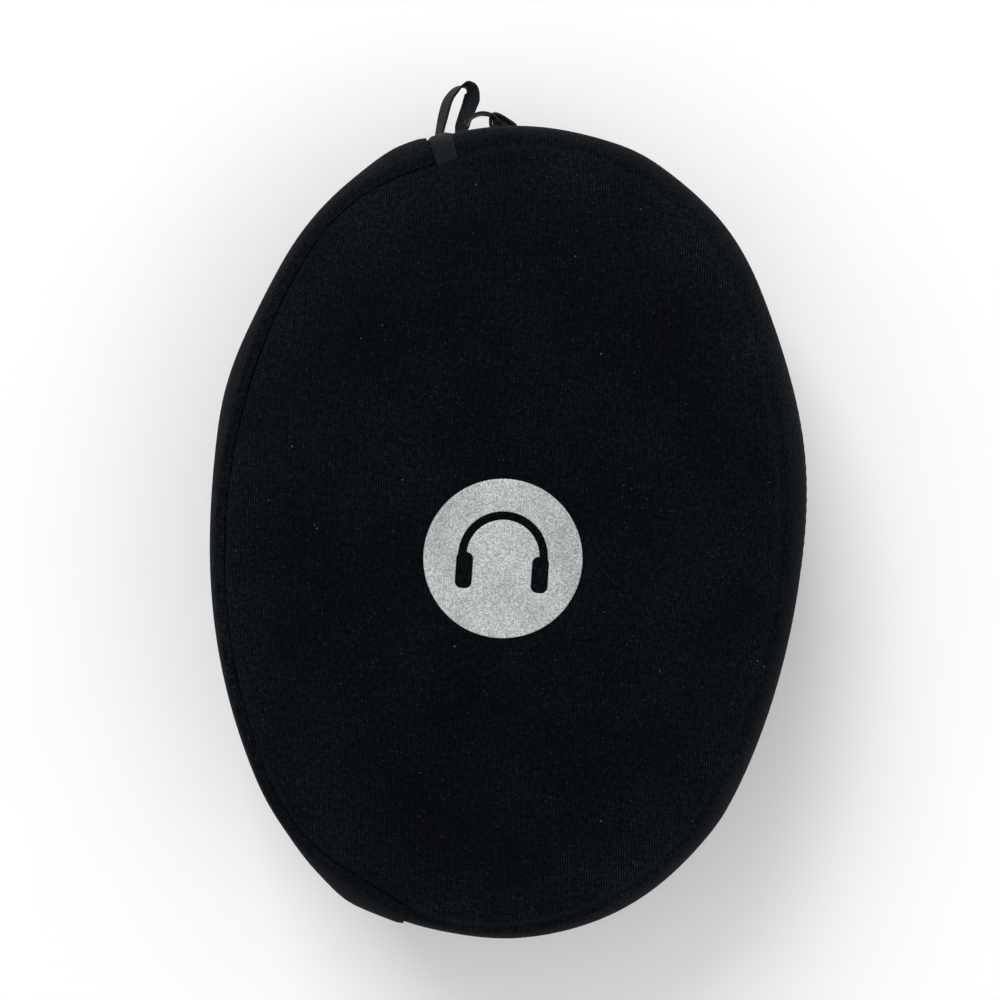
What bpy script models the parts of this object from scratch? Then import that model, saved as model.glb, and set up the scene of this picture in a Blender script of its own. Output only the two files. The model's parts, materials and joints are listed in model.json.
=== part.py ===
"""Zip-up headphone carrying case: two moulded foam halves in knitted cloth, joined by a fabric spine.

The case lies on the flat of its base. X runs across it, from the spine (-X) to the zip (+X), Y runs
along it towards the hang loop, and Z points up through the lid. The origin is the middle of the flat
that the base rests on. The two halves meet on the mid-plane, BASE_DEPTH above it.

Every long piece follows the same four-arc oval. A place on it is given by the direction that its
outward normal points in, by a depth measured inwards from the outline, and by a height above or
below the mid-plane.
"""

import math

import bmesh
import bpy
from mathutils import Matrix, Vector

MM = 0.001

# Overall sizes of the closed case, without the hang loop
CASE_WIDTH = 140 * MM
CASE_LENGTH = 192 * MM
END_RADIUS = 62 * MM
BASE_DEPTH = 33 * MM
LID_DEPTH = 34 * MM

# Shape of each moulded half
WALL_DRAFT = 0.8 * MM
WALL_HEIGHT = 16 * MM
SHOULDER_RADIUS = 9 * MM
SHOULDER_TURN = math.radians(75)
LID_FLAT_INSET = 47 * MM
BASE_FLAT_INSET = 28 * MM

# Layers of each half, from the outside in
COVER_THICKNESS = 1.0 * MM
FOAM_THICKNESS = 3.0 * MM
LINING_THICKNESS = 0.8 * MM
GAP = 0.3 * MM

# Heights above and below the mid-plane at which things end
COVER_EDGE = 4.5 * MM
FOAM_EDGE = 8.3 * MM
TAPE_EDGE = 0.5 * MM

# Zip
TAPE_THICKNESS = 0.6 * MM
COIL_WIDTH = 1.9 * MM
COIL_HEIGHT = 1.0 * MM
BINDING_EDGE = 2.5 * MM
STOP_LENGTH = math.radians(1.4)
ZIP_TOP = math.radians(108.4)
ZIP_BOTTOM = math.radians(-104.3)
TAPE_TAIL = math.radians(2.4)
END_GAP = math.radians(0.5)

# Fabric spine, and the tab that closes off the top end of the zip
SPINE_THICKNESS = 0.7 * MM
SPINE_TURN = math.radians(55)
HINGE_LINING_DEPTH = 2.6 * MM
HINGE_LINING_THICKNESS = 0.8 * MM
TAB_LENGTH = math.radians(5.8)
TAB_THICKNESS = 0.6 * MM

# Hang loop of flat ribbon
RIBBON_WIDTH = 5.5 * MM
RIBBON_THICKNESS = 0.7 * MM
LOOP_OFFSET = math.radians(0.8)
LOOP_SPACING = math.radians(5.8)
LOOP_RISE = 16.8 * MM
LOOP_LEAN = 2.6 * MM

# Slider, its bridge and its puller
SLIDER_ANGLE = math.radians(97.04)
SLIDER_LENGTH = 8.4 * MM
SLIDER_LIP = 0.6 * MM
SLIDER_PLATE = 1.0 * MM
SLIDER_FLANGE = 0.7 * MM
SLIDER_POST = 0.4 * MM
INNER_PLATE_THICKNESS = 0.7 * MM
INNER_PLATE_CLEARANCE = 0.5 * MM
BRIDGE_LENGTH = 5.2 * MM
BRIDGE_HEIGHT = 3.8 * MM
BRIDGE_THICKNESS = 0.75 * MM
BRIDGE_WIDTH = 1.6 * MM
PULLER_BAR_RADIUS = 0.4 * MM
PULLER_BAR_OFFSET = 0.7 * MM
PULLER_THICKNESS = 0.6 * MM
PULLER_WIDTH = 4.6 * MM
PULLER_CURVE = 4.6 * MM
PULLER_FIRST = math.radians(30)
PULLER_SPAN = math.radians(125)

# Emblem disc on the lid
EMBLEM_RADIUS = 18 * MM
EMBLEM_THICKNESS = 0.3 * MM
EMBLEM_Y = -5.7 * MM

# Joint axis of the lid: it runs along Y, a little inside the left edge
HINGE_INSET = 6 * MM

# How finely the oval is cut up
END_STEPS = 16
SIDE_STEPS = 7
SHOULDER_STEPS = 3
DOME_STEPS = 3

SIDE_RADIUS = ((CASE_WIDTH / 2) ** 2 + (CASE_LENGTH / 2) ** 2 - CASE_LENGTH * END_RADIUS) / (
    CASE_WIDTH - 2 * END_RADIUS
)
END_CENTRE = CASE_LENGTH / 2 - END_RADIUS
SIDE_CENTRE = SIDE_RADIUS - CASE_WIDTH / 2
SIDE_SPAN = math.atan2(END_CENTRE, SIDE_CENTRE)
FOAM_DEPTH = COVER_THICKNESS + GAP
LINING_DEPTH = FOAM_DEPTH + FOAM_THICKNESS + GAP
TAPE_DEPTH = FOAM_DEPTH
COIL_DEPTH = TAPE_DEPTH - GAP - COIL_HEIGHT
BINDING_DEPTH = TAPE_DEPTH + TAPE_THICKNESS + GAP
BINDING_THICKNESS = LINING_DEPTH - GAP - BINDING_DEPTH
STOP_GAP = GAP / END_RADIUS * 1.2
TAPE_BOTTOM = ZIP_BOTTOM - TAPE_TAIL
TAB_START = ZIP_TOP + STOP_GAP + STOP_LENGTH + STOP_GAP
TAB_END = TAB_START + TAB_LENGTH
TAPE_TOP = TAB_END
SPINE_TOP = TAB_END + END_GAP
SPINE_BOTTOM = math.tau + TAPE_BOTTOM - END_GAP
LOOP_LEFT_FOOT = TAB_START + LOOP_OFFSET
LOOP_RIGHT_FOOT = LOOP_LEFT_FOOT - LOOP_SPACING
COIL_FAR = TAPE_EDGE + COIL_WIDTH
SLIDER_REACH = COIL_FAR + GAP + SLIDER_FLANGE
SLIDER_LID_REACH = COIL_FAR + SLIDER_LIP
INNER_PLATE_REACH = BINDING_EDGE - GAP
PULLER_WINDOW = GAP + math.hypot(BRIDGE_LENGTH / 2 + PULLER_BAR_OFFSET, (BRIDGE_HEIGHT + BRIDGE_THICKNESS) / 2)


# The oval

def arc_of(angle):
    """Centre and radius of the arc whose normal points along angle."""
    turn = (angle + SIDE_SPAN) % math.tau
    if turn <= 2 * SIDE_SPAN:
        return Vector((-SIDE_CENTRE, 0)), SIDE_RADIUS
    if turn < math.pi:
        return Vector((0, END_CENTRE)), END_RADIUS
    if turn <= math.pi + 2 * SIDE_SPAN:
        return Vector((SIDE_CENTRE, 0)), SIDE_RADIUS
    return Vector((0, -END_CENTRE)), END_RADIUS


def oval_point(angle, depth, height):
    """World point at a normal direction, a depth inside the outline and a height over the mid-plane."""
    centre, radius = arc_of(angle)
    x = centre.x + (radius - depth) * math.cos(angle)
    y = centre.y + (radius - depth) * math.sin(angle)
    return Vector((x, y, BASE_DEPTH + height))


def master_angles():
    """Directions of the columns that every long piece shares, once round from 0."""
    angles = []
    end_span = math.pi - 2 * SIDE_SPAN
    for first, span, steps in (
        (-SIDE_SPAN, 2 * SIDE_SPAN, SIDE_STEPS),
        (SIDE_SPAN, end_span, END_STEPS),
        (math.pi - SIDE_SPAN, 2 * SIDE_SPAN, SIDE_STEPS),
        (math.pi + SIDE_SPAN, end_span, END_STEPS),
    ):
        angles += [(first + span * i / steps) % math.tau for i in range(steps)]
    ends = (ZIP_TOP, ZIP_BOTTOM, TAPE_TOP, TAPE_BOTTOM, SPINE_TOP, SPINE_BOTTOM, TAB_START, TAB_END)
    for end in ends:
        angle = end % math.tau
        near = [a for a in angles if abs(a - angle) < math.radians(1.2)]
        for a in near:
            angles.remove(a)
        angles.append(angle)
    return sorted(angles)


def span_angles(first, last):
    """The shared columns between two directions, with both ends."""
    inner = [a + turn for a in master_angles() for turn in (-math.tau, 0, math.tau)]
    inside = sorted(a for a in inner if first + 1e-6 < a < last - 1e-6)
    return [first, *inside, last]


# Sections, as (depth, height) points

def shoulder_profile(last_turn):
    """Outer skin of a half from its rim up the wall and round the shoulder as far as last_turn."""
    arc_x = WALL_DRAFT + SHOULDER_RADIUS
    whole = SHOULDER_TURN / SHOULDER_STEPS
    turns = [whole * i for i in range(SHOULDER_STEPS + 1) if whole * i < last_turn - 1e-6]
    points = [(0.0, COVER_EDGE)]
    for turn in [*turns, last_turn]:
        depth = arc_x - SHOULDER_RADIUS * math.cos(turn)
        points.append((depth, WALL_HEIGHT + SHOULDER_RADIUS * math.sin(turn)))
    return points


def outer_profile(depth_of_half, flat_inset):
    """Outer skin of a half from its rim to the edge of its flat: wall, shoulder arc, then a dome."""
    points = shoulder_profile(SHOULDER_TURN)
    start_depth, start_height = points[-1]
    for i in range(1, DOME_STEPS + 1):
        share = i / DOME_STEPS
        depth = start_depth + (flat_inset - start_depth) * share
        height = start_height + (depth_of_half - start_height) * (1 - (1 - share) ** 2)
        points.append((depth, height))
    return points


def inset_profile(profile, inset, rim_height):
    """The profile moved inwards by inset, mitred at its corners, with its rim cut at rim_height."""
    moved = []
    last = len(profile) - 1
    for i, (depth, height) in enumerate(profile):
        before = Vector(profile[max(i - 1, 0)])
        here = Vector((depth, height))
        after = Vector(profile[min(i + 1, last)])
        ways = [w.normalized() for w in (here - before, after - here) if w.length > 0]
        if i == last:
            ways.append(Vector((1, 0)))
        normals = [Vector((w.y, -w.x)) for w in ways]
        mean = sum(normals, Vector((0, 0))).normalized()
        shift = mean * (inset / mean.dot(normals[0]))
        moved.append((depth + shift.x, height + shift.y))
    wall_low, wall_high = moved[0], moved[1]
    share = (rim_height - wall_low[1]) / (wall_high[1] - wall_low[1])
    moved[0] = (wall_low[0] + (wall_high[0] - wall_low[0]) * share, rim_height)
    return moved


# Making objects

def material(name, colour, roughness, metallic=0.0):
    """A Principled material, made once for each name."""
    made = bpy.data.materials.get(name) or bpy.data.materials.new(name)
    made.use_nodes = True
    shader = made.node_tree.nodes["Principled BSDF"]
    shader.inputs["Base Color"].default_value = (*colour, 1.0)
    shader.inputs["Roughness"].default_value = roughness
    shader.inputs["Metallic"].default_value = metallic
    return made


def pivot(name, place, parent=None):
    """An empty on a joint's axis, which the pieces of that body hang from."""
    empty = bpy.data.objects.new(name, None)
    bpy.context.scene.collection.objects.link(empty)
    origin = Vector(parent["place"]) if parent else Vector((0, 0, 0))
    empty.parent = parent
    empty.location = Vector(place) - origin
    empty["place"] = tuple(place)
    empty.empty_display_size = 10 * MM
    return empty


def piece(name, mesh, finish, parent=None, sharp=35):
    """One closed solid, given in world places, hung from a body's pivot."""
    origin = Vector(parent["place"]) if parent else Vector((0, 0, 0))
    bmesh.ops.recalc_face_normals(mesh, faces=mesh.faces)
    bmesh.ops.translate(mesh, verts=mesh.verts, vec=-origin)
    data = bpy.data.meshes.new(name)
    mesh.to_mesh(data)
    mesh.free()
    data.materials.append(finish)
    data.shade_smooth()
    data.set_sharp_from_angle(angle=math.radians(sharp))
    made = bpy.data.objects.new(name, data)
    bpy.context.scene.collection.objects.link(made)
    made.parent = parent
    return made


def ring_faces(mesh, rings, close_rings, close_way):
    """Quads between neighbouring rings of points. Each ring may be closed, and so may their order."""
    rows = [[mesh.verts.new(p) for p in ring] for ring in rings]
    pairs = list(zip(rows, rows[1:]))
    if close_way:
        pairs.append((rows[-1], rows[0]))
    for a, b in pairs:
        count = len(a)
        for i in range(count if close_rings else count - 1):
            j = (i + 1) % count
            mesh.faces.new((a[i], a[j], b[j], b[i]))
    return rows


def half_layer(name, flat_depth, flat_inset, outer, inner, rim, up, finish, parent=None):
    """One layer of a half: the profile carried round the oval at two insets and closed at the rim."""
    skin = outer_profile(flat_depth, flat_inset)
    outside = inset_profile(skin, outer, rim)
    inside = inset_profile(skin, inner, rim)
    angles = master_angles()
    mesh = bmesh.new()
    path = outside[::-1] + inside
    rings = [[oval_point(a, depth, up * height) for a in angles] for depth, height in path]
    rows = ring_faces(mesh, rings, True, False)
    mesh.faces.new(rows[0])
    mesh.faces.new(rows[-1])
    return piece(name, mesh, finish, parent, sharp=50)


def strip(name, first, last, section, finish, parent=None):
    """A closed section of (depth, height) points carried along part of the oval, with capped ends."""
    mesh = bmesh.new()
    rings = [[oval_point(a, depth, height) for depth, height in section] for a in span_angles(first, last)]
    rows = ring_faces(mesh, rings, True, False)
    mesh.faces.new(rows[0])
    mesh.faces.new(rows[-1])
    return piece(name, mesh, finish, parent)


def prism(name, outline, low, high, finish, parent=None):
    """An outline of (x, y) points extruded along Z from low to high."""
    mesh = bmesh.new()
    bottom = mesh.faces.new([mesh.verts.new((x, y, low)) for x, y in outline])
    grown = bmesh.ops.extrude_face_region(mesh, geom=[bottom])
    raised = [v for v in grown["geom"] if isinstance(v, bmesh.types.BMVert)]
    bmesh.ops.translate(mesh, verts=raised, vec=(0, 0, high - low))
    return piece(name, mesh, finish, parent)


def mirrored(section, up):
    """The section for the lid (up = 1), or its mirror image for the base (up = -1)."""
    return [(depth, up * height) for depth, height in section]


# Pieces of each half

def moulded_half(prefix, flat_depth, flat_inset, up, finishes, parent=None):
    """Knitted cover, foam shell and lining of one half."""
    shape = (flat_depth, flat_inset)
    half_layer(f"{prefix}_cover", *shape, 0.0, COVER_THICKNESS, COVER_EDGE, up, finishes["knit"], parent)
    foam_inside = FOAM_DEPTH + FOAM_THICKNESS
    half_layer(f"{prefix}_foam_shell", *shape, FOAM_DEPTH, foam_inside, FOAM_EDGE, up, finishes["foam"], parent)
    lining_inside = LINING_DEPTH + LINING_THICKNESS
    half_layer(f"{prefix}_lining", *shape, LINING_DEPTH, lining_inside, FOAM_EDGE, up, finishes["lining"], parent)


def zip_half(prefix, up, finishes, parent=None):
    """Tape, coil, top stop and inner binding of one side of the zip."""
    tape_inside = TAPE_DEPTH + TAPE_THICKNESS
    tape_far = FOAM_EDGE - GAP
    tape = [
        (TAPE_DEPTH, TAPE_EDGE),
        (TAPE_DEPTH, tape_far),
        (tape_inside, tape_far),
        (tape_inside, TAPE_EDGE),
    ]
    strip(f"{prefix}_zip_tape", TAPE_BOTTOM, TAPE_TOP, mirrored(tape, up), finishes["tape"], parent)
    bevel = COIL_HEIGHT / 3
    coil_inside = COIL_DEPTH + COIL_HEIGHT
    coil = [
        (COIL_DEPTH, TAPE_EDGE + bevel),
        (COIL_DEPTH, COIL_FAR - bevel),
        (COIL_DEPTH + bevel, COIL_FAR),
        (coil_inside, COIL_FAR),
        (coil_inside, TAPE_EDGE),
        (COIL_DEPTH + bevel, TAPE_EDGE),
    ]
    strip(f"{prefix}_zip_coil", ZIP_BOTTOM, ZIP_TOP, mirrored(coil, up), finishes["coil"], parent)
    stop_first = ZIP_TOP + STOP_GAP
    strip(f"{prefix}_top_stop", stop_first, stop_first + STOP_LENGTH, mirrored(coil, up), finishes["metal"], parent)
    binding_inside = BINDING_DEPTH + BINDING_THICKNESS
    bend = BINDING_THICKNESS / 3
    binding = [
        (BINDING_DEPTH, BINDING_EDGE),
        (BINDING_DEPTH, tape_far),
        (binding_inside, tape_far),
        (binding_inside, BINDING_EDGE + bend),
        (binding_inside - bend, BINDING_EDGE),
    ]
    strip(f"{prefix}_binding", TAPE_BOTTOM, TAPE_TOP, mirrored(binding, up), finishes["binding"], parent)


def bottom_stop(finishes):
    """Stop that the slider would meet at the far end of the zip."""
    low = -COIL_FAR
    high = TAPE_EDGE - GAP
    inside = COIL_DEPTH + COIL_HEIGHT
    section = [(COIL_DEPTH, low), (COIL_DEPTH, high), (inside, high), (inside, low)]
    last = ZIP_BOTTOM - STOP_GAP
    strip("zip_bottom_stop", last - STOP_LENGTH, last, section, finishes["metal"])


# Pieces that join the halves

def hinge_spine(finishes):
    """Fabric panel over both halves along the side without a zip, sewn down on their shoulders."""
    skin = shoulder_profile(SPINE_TURN)
    outside = inset_profile(skin, -GAP - SPINE_THICKNESS, COVER_EDGE)
    inside = inset_profile(skin, -GAP, COVER_EDGE)
    section = mirrored(outside[::-1], -1) + outside + inside[::-1] + mirrored(inside, -1)
    strip("hinge_spine", SPINE_TOP, SPINE_BOTTOM, section, finishes["spine"])


def hinge_lining(finishes):
    """Strip of lining that bridges the two halves inside the spine."""
    reach = FOAM_EDGE - GAP
    inside = HINGE_LINING_DEPTH + HINGE_LINING_THICKNESS
    section = [
        (HINGE_LINING_DEPTH, -reach),
        (HINGE_LINING_DEPTH, reach),
        (inside, reach),
        (inside, -reach),
    ]
    strip("hinge_lining", SPINE_TOP, SPINE_BOTTOM, section, finishes["lining"])


def zip_end_tab(finishes, parent):
    """Woven tab sewn on the lid over the top end of the zip, up to the shoulder."""
    skin = shoulder_profile(SHOULDER_TURN)
    start = TAPE_EDGE + GAP
    outside = [(-GAP - TAB_THICKNESS, start), *inset_profile(skin, -GAP - TAB_THICKNESS, COVER_EDGE)]
    inside = [(-GAP, start), *inset_profile(skin, -GAP, COVER_EDGE)]
    strip("zip_end_tab", TAB_START, TAB_END, outside + inside[::-1], finishes["webbing"], parent)


def hang_loop(finishes):
    """Ribbon bent into a leaning loop, standing on the base cover beside the end of the zip."""
    left = oval_point(LOOP_LEFT_FOOT, -GAP, 0).to_2d()
    right = oval_point(LOOP_RIGHT_FOOT, -GAP, 0).to_2d()
    gap = right - left
    middle = (left + right) / 2
    steps = 12
    line = []
    for i in range(steps + 1):
        share = i / steps
        turn = math.pi * (1 - share)
        rise = math.sin(turn) ** 0.7
        x = middle.x + gap.x / 2 * math.cos(turn) + LOOP_LEAN * rise ** 3
        y = left.y + gap.y * share + LOOP_RISE * rise
        line.append(Vector((x, y)))
    outside = []
    inside = []
    for i, here in enumerate(line):
        way = line[min(i + 1, steps)] - line[max(i - 1, 0)]
        if i in (0, steps):
            way = Vector((0, 1 if i == 0 else -1))
        side = Vector((-way.y, way.x)).normalized() * RIBBON_THICKNESS / 2
        outside.append(here + side)
        inside.append(here - side)
    high = BASE_DEPTH - COVER_EDGE - GAP
    prism("hang_loop", outside + inside[::-1], high - RIBBON_WIDTH, high, finishes["webbing"])


def emblem(finishes, parent):
    """Round silver transfer in the middle of the lid."""
    mesh = bmesh.new()
    bmesh.ops.create_cone(
        mesh, cap_ends=True, segments=40, radius1=EMBLEM_RADIUS, radius2=EMBLEM_RADIUS, depth=EMBLEM_THICKNESS
    )
    height = BASE_DEPTH + LID_DEPTH + GAP + EMBLEM_THICKNESS / 2
    bmesh.ops.translate(mesh, verts=mesh.verts, vec=(0, EMBLEM_Y, height))
    piece("emblem_disc", mesh, finishes["emblem"], parent)


# Slider and puller, drawn with X along the zip and Y out from the rim, then turned into place

def on_rim(mesh):
    """Turns a mesh drawn at the slider into its place on the rim."""
    place = oval_point(SLIDER_ANGLE, 0, 0)
    turn = Matrix.Rotation(SLIDER_ANGLE - math.pi / 2, 4, "Z")
    bmesh.ops.transform(mesh, verts=mesh.verts, matrix=Matrix.Translation(place) @ turn)


def crosswise(outline, axis_span, along):
    """A closed outline carried between two values along an axis: 'x' takes (z, y), 'z' takes (x, y)."""
    mesh = bmesh.new()
    rings = []
    for value in axis_span:
        if along == "x":
            rings.append([Vector((value, y, z)) for z, y in outline])
        else:
            rings.append([Vector((x, y, value)) for x, y in outline])
    rows = ring_faces(mesh, rings, True, False)
    mesh.faces.new(rows[0])
    mesh.faces.new(rows[-1])
    return mesh


def slider_body(finishes, parent):
    """Outer and inner plates, the post between the coils, and the flange round the base's coil."""
    over = GAP - COIL_DEPTH
    top = over + SLIDER_PLATE
    post = SLIDER_POST / 2
    under = -(TAPE_DEPTH + TAPE_THICKNESS + INNER_PLATE_CLEARANCE)
    bottom = under - INNER_PLATE_THICKNESS
    flange_in = -SLIDER_REACH + SLIDER_FLANGE
    flange_low = GAP - TAPE_DEPTH + 0.1 * MM
    reach = INNER_PLATE_REACH
    outline = [
        (-SLIDER_REACH, top), (SLIDER_LID_REACH, top), (SLIDER_LID_REACH, over), (post, over),
        (post, under), (reach, under), (reach, bottom), (-reach, bottom), (-reach, under),
        (-post, under), (-post, over), (flange_in, over), (flange_in, flange_low),
        (-SLIDER_REACH, flange_low),
    ]
    mesh = crosswise(outline, (-SLIDER_LENGTH / 2, SLIDER_LENGTH / 2), "x")
    on_rim(mesh)
    piece("slider_body", mesh, finishes["metal"], parent)


def bridge_base():
    """Height over the rim at which the bridge starts."""
    return GAP - COIL_DEPTH + SLIDER_PLATE + GAP


def slider_bridge(finishes, parent):
    """Arch on the slider that holds the puller's bar."""
    half = BRIDGE_LENGTH / 2
    low = bridge_base()
    high = low + BRIDGE_HEIGHT
    chamfer = BRIDGE_THICKNESS / 2
    inner = half - BRIDGE_THICKNESS
    roof = high - BRIDGE_THICKNESS
    outline = [
        (-half, low), (-half, high - chamfer), (-half + chamfer, high), (half - chamfer, high),
        (half, high - chamfer), (half, low), (inner, low), (inner, roof), (-inner, roof), (-inner, low),
    ]
    mesh = crosswise(outline, (-BRIDGE_WIDTH / 2, BRIDGE_WIDTH / 2), "z")
    on_rim(mesh)
    piece("slider_bridge", mesh, finishes["metal"], parent)


def puller_axis():
    """Where the puller's bar lies, in the slider's own drawing."""
    height = bridge_base() + (BRIDGE_HEIGHT - BRIDGE_THICKNESS) / 2
    return Vector((-PULLER_BAR_OFFSET, height))


def puller_world_axis():
    """The same place in the world."""
    local = puller_axis()
    turn = Matrix.Rotation(SLIDER_ANGLE - math.pi / 2, 4, "Z")
    return oval_point(SLIDER_ANGLE, 0, 0) + turn @ Vector((local.x, local.y, 0))


def zip_puller(finishes, parent):
    """Arched plate, with a window that the bridge passes through and a bar under the bridge."""
    start = puller_axis()
    centre = start - PULLER_CURVE * Vector((math.cos(PULLER_FIRST), math.sin(PULLER_FIRST)))
    bar = PULLER_BAR_RADIUS / PULLER_CURVE
    window = 2 * math.asin(PULLER_WINDOW / 2 / PULLER_CURVE)
    steps = 3
    turns = [-bar]
    turns += [bar + (window - bar) * i / steps for i in range(steps)]
    turns += [window + (PULLER_SPAN - window) * i / (steps + 1) for i in range(steps + 2)]
    last = len(turns) - 1
    window_end = 1 + steps
    ways = [Vector((math.cos(PULLER_FIRST + t), math.sin(PULLER_FIRST + t))) for t in turns]
    path = [centre + PULLER_CURVE * way for way in ways]
    sides = [way * PULLER_THICKNESS / 2 for way in ways]
    mesh = bmesh.new()
    half = PULLER_WIDTH / 2
    rail = BRIDGE_WIDTH / 2 + GAP
    levels = (-half, -rail, rail, half)
    grid = [
        [[mesh.verts.new((*(p + s * sign), z)) for z in levels] for sign in (1, -1)]
        for p, s in zip(path, sides)
    ]

    def quad(*corners):
        mesh.faces.new(corners)

    for i in range(last):
        near, far = grid[i], grid[i + 1]
        open_here = 0 < i < window_end
        for k in range(3):
            if k == 1 and open_here:
                continue
            for side in (0, 1):
                quad(near[side][k], near[side][k + 1], far[side][k + 1], far[side][k])
        for k in (0, 3):
            quad(near[0][k], far[0][k], far[1][k], near[1][k])
        if open_here:
            for k in (1, 2):
                quad(near[0][k], far[0][k], far[1][k], near[1][k])
    for i in (1, window_end):
        quad(grid[i][0][1], grid[i][0][2], grid[i][1][2], grid[i][1][1])
    for i in (0, last):
        for k in range(3):
            quad(grid[i][0][k], grid[i][0][k + 1], grid[i][1][k + 1], grid[i][1][k])
    on_rim(mesh)
    piece("zip_puller", mesh, finishes["metal"], parent)


def main():
    for old in list(bpy.data.objects):
        bpy.data.objects.remove(old, do_unlink=True)
    finishes = {
        "knit": material("black_knit", (0.0055, 0.0067, 0.0080), 0.85),
        "spine": material("black_spine_knit", (0.0040, 0.0062, 0.0075), 0.85),
        "foam": material("charcoal_foam", (0.030, 0.030, 0.032), 0.95),
        "lining": material("grey_tricot_lining", (0.035, 0.036, 0.038), 0.9),
        "tape": material("zip_tape_weave", (0.006, 0.006, 0.007), 0.8),
        "coil": material("zip_coil_nylon", (0.008, 0.008, 0.009), 0.45),
        "binding": material("binding_ribbon", (0.008, 0.008, 0.009), 0.8),
        "webbing": material("webbing_ribbon", (0.010, 0.012, 0.014), 0.75),
        "metal": material("gunmetal", (0.11, 0.11, 0.115), 0.35, 1.0),
        "emblem": material("silver_transfer", (0.45, 0.47, 0.48), 0.45, 0.4),
    }
    hinge_x = -CASE_WIDTH / 2 + HINGE_INSET
    lid = pivot("lid_pivot", (hinge_x, 0, BASE_DEPTH))
    slider = pivot("slider_pivot", (0, END_CENTRE, BASE_DEPTH))
    puller = pivot("puller_pivot", puller_world_axis(), slider)
    moulded_half("base", BASE_DEPTH, BASE_FLAT_INSET, -1, finishes)
    zip_half("base", -1, finishes)
    bottom_stop(finishes)
    hinge_spine(finishes)
    hinge_lining(finishes)
    hang_loop(finishes)
    moulded_half("lid", LID_DEPTH, LID_FLAT_INSET, 1, finishes, lid)
    zip_half("lid", 1, finishes, lid)
    zip_end_tab(finishes, lid)
    emblem(finishes, lid)
    slider_body(finishes, slider)
    slider_bridge(finishes, slider)
    zip_puller(finishes, puller)


main()
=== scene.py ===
"""Looks of the zip-up headphone case: knit, lining, zip, spine, hang loop, slider and emblem."""

import json
import math

import bpy
import numpy as np
from bpy.props import FloatProperty, FloatVectorProperty, IntProperty, PointerProperty
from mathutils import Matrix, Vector


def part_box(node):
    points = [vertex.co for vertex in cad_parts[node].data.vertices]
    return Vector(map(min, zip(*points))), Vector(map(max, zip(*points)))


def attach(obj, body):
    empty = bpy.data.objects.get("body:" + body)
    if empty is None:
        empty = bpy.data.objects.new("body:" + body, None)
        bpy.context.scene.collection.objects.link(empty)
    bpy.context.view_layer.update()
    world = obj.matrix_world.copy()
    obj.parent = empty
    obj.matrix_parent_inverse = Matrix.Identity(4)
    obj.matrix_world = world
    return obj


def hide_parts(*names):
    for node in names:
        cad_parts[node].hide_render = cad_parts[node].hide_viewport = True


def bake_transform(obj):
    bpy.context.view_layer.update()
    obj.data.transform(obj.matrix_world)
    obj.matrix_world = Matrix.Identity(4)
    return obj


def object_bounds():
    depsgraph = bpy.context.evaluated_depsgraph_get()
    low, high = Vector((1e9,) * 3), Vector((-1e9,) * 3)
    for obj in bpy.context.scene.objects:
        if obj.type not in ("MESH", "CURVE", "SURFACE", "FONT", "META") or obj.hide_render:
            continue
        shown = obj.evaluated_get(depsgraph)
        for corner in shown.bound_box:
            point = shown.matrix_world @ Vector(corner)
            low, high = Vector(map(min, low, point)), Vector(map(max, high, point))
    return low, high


bl_info = {
    "name": "Headphone Case Looks",
    "version": (1, 0, 0),
    "blender": (4, 5, 0),
    "location": "3D View > Sidebar > Case",
    "description": "Builds the fabric, zip and metal of a moulded headphone case round its solid model",
    "category": "Object",
}

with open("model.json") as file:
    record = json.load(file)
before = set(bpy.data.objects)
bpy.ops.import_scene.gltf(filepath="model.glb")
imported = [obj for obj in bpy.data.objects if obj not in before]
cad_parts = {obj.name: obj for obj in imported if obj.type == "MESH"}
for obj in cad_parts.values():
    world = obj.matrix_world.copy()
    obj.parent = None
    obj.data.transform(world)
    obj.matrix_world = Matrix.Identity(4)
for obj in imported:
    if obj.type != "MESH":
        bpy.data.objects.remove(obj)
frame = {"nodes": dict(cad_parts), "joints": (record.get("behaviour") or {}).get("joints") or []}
CAD_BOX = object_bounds()

MM = 0.001
JOINTS = {joint["name"]: joint for joint in frame["joints"]}
MID = JOINTS["lid_hinge"]["pos_m"][2]
END_CENTRE = JOINTS["zip_slide"]["pos_m"][1]
HALF_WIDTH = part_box("lid_cover")[1].x
HALF_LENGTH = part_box("lid_cover")[1].y
LID_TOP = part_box("lid_cover")[1].z - MID
BASE_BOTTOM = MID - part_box("base_cover")[0].z
COVER_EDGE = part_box("lid_cover")[0].z - MID
FOAM_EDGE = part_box("lid_foam_shell")[0].z - MID
END_RADIUS = HALF_LENGTH - END_CENTRE


def direction_of(node, corner):
    """Normal direction of the oval at one end of a strip on a round end, from the strip's box."""
    low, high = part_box(node)
    x = (low.x, high.x)[corner[0]]
    y = (low.y, high.y)[corner[1]]
    centre = END_CENTRE if y > 0 else -END_CENTRE
    return math.atan2(y - centre, x)


SLIDER_BOX = [np.array(c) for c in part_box("slider_body")]
SLIDER_MIDDLE = (SLIDER_BOX[0] + SLIDER_BOX[1]) / 2
SLIDER_ANGLE = math.atan2(SLIDER_MIDDLE[1] - END_CENTRE, SLIDER_MIDDLE[0])
TAB_START = direction_of("zip_end_tab", (1, 1))
TAB_TURN = 5.8 / 62
STOP_TURN = math.radians(2.0)
SPINE_GAP = math.radians(0.3)
TAB_END = TAB_START + TAB_TURN
ZIP_TOP = TAB_START - STOP_TURN
ZIP_BOTTOM = math.radians(-104.3)
TAPE_BOTTOM = math.radians(-106.7)
SPINE_TOP = TAB_END + SPINE_GAP
SPINE_BOTTOM = math.tau + TAPE_BOTTOM - SPINE_GAP

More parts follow.
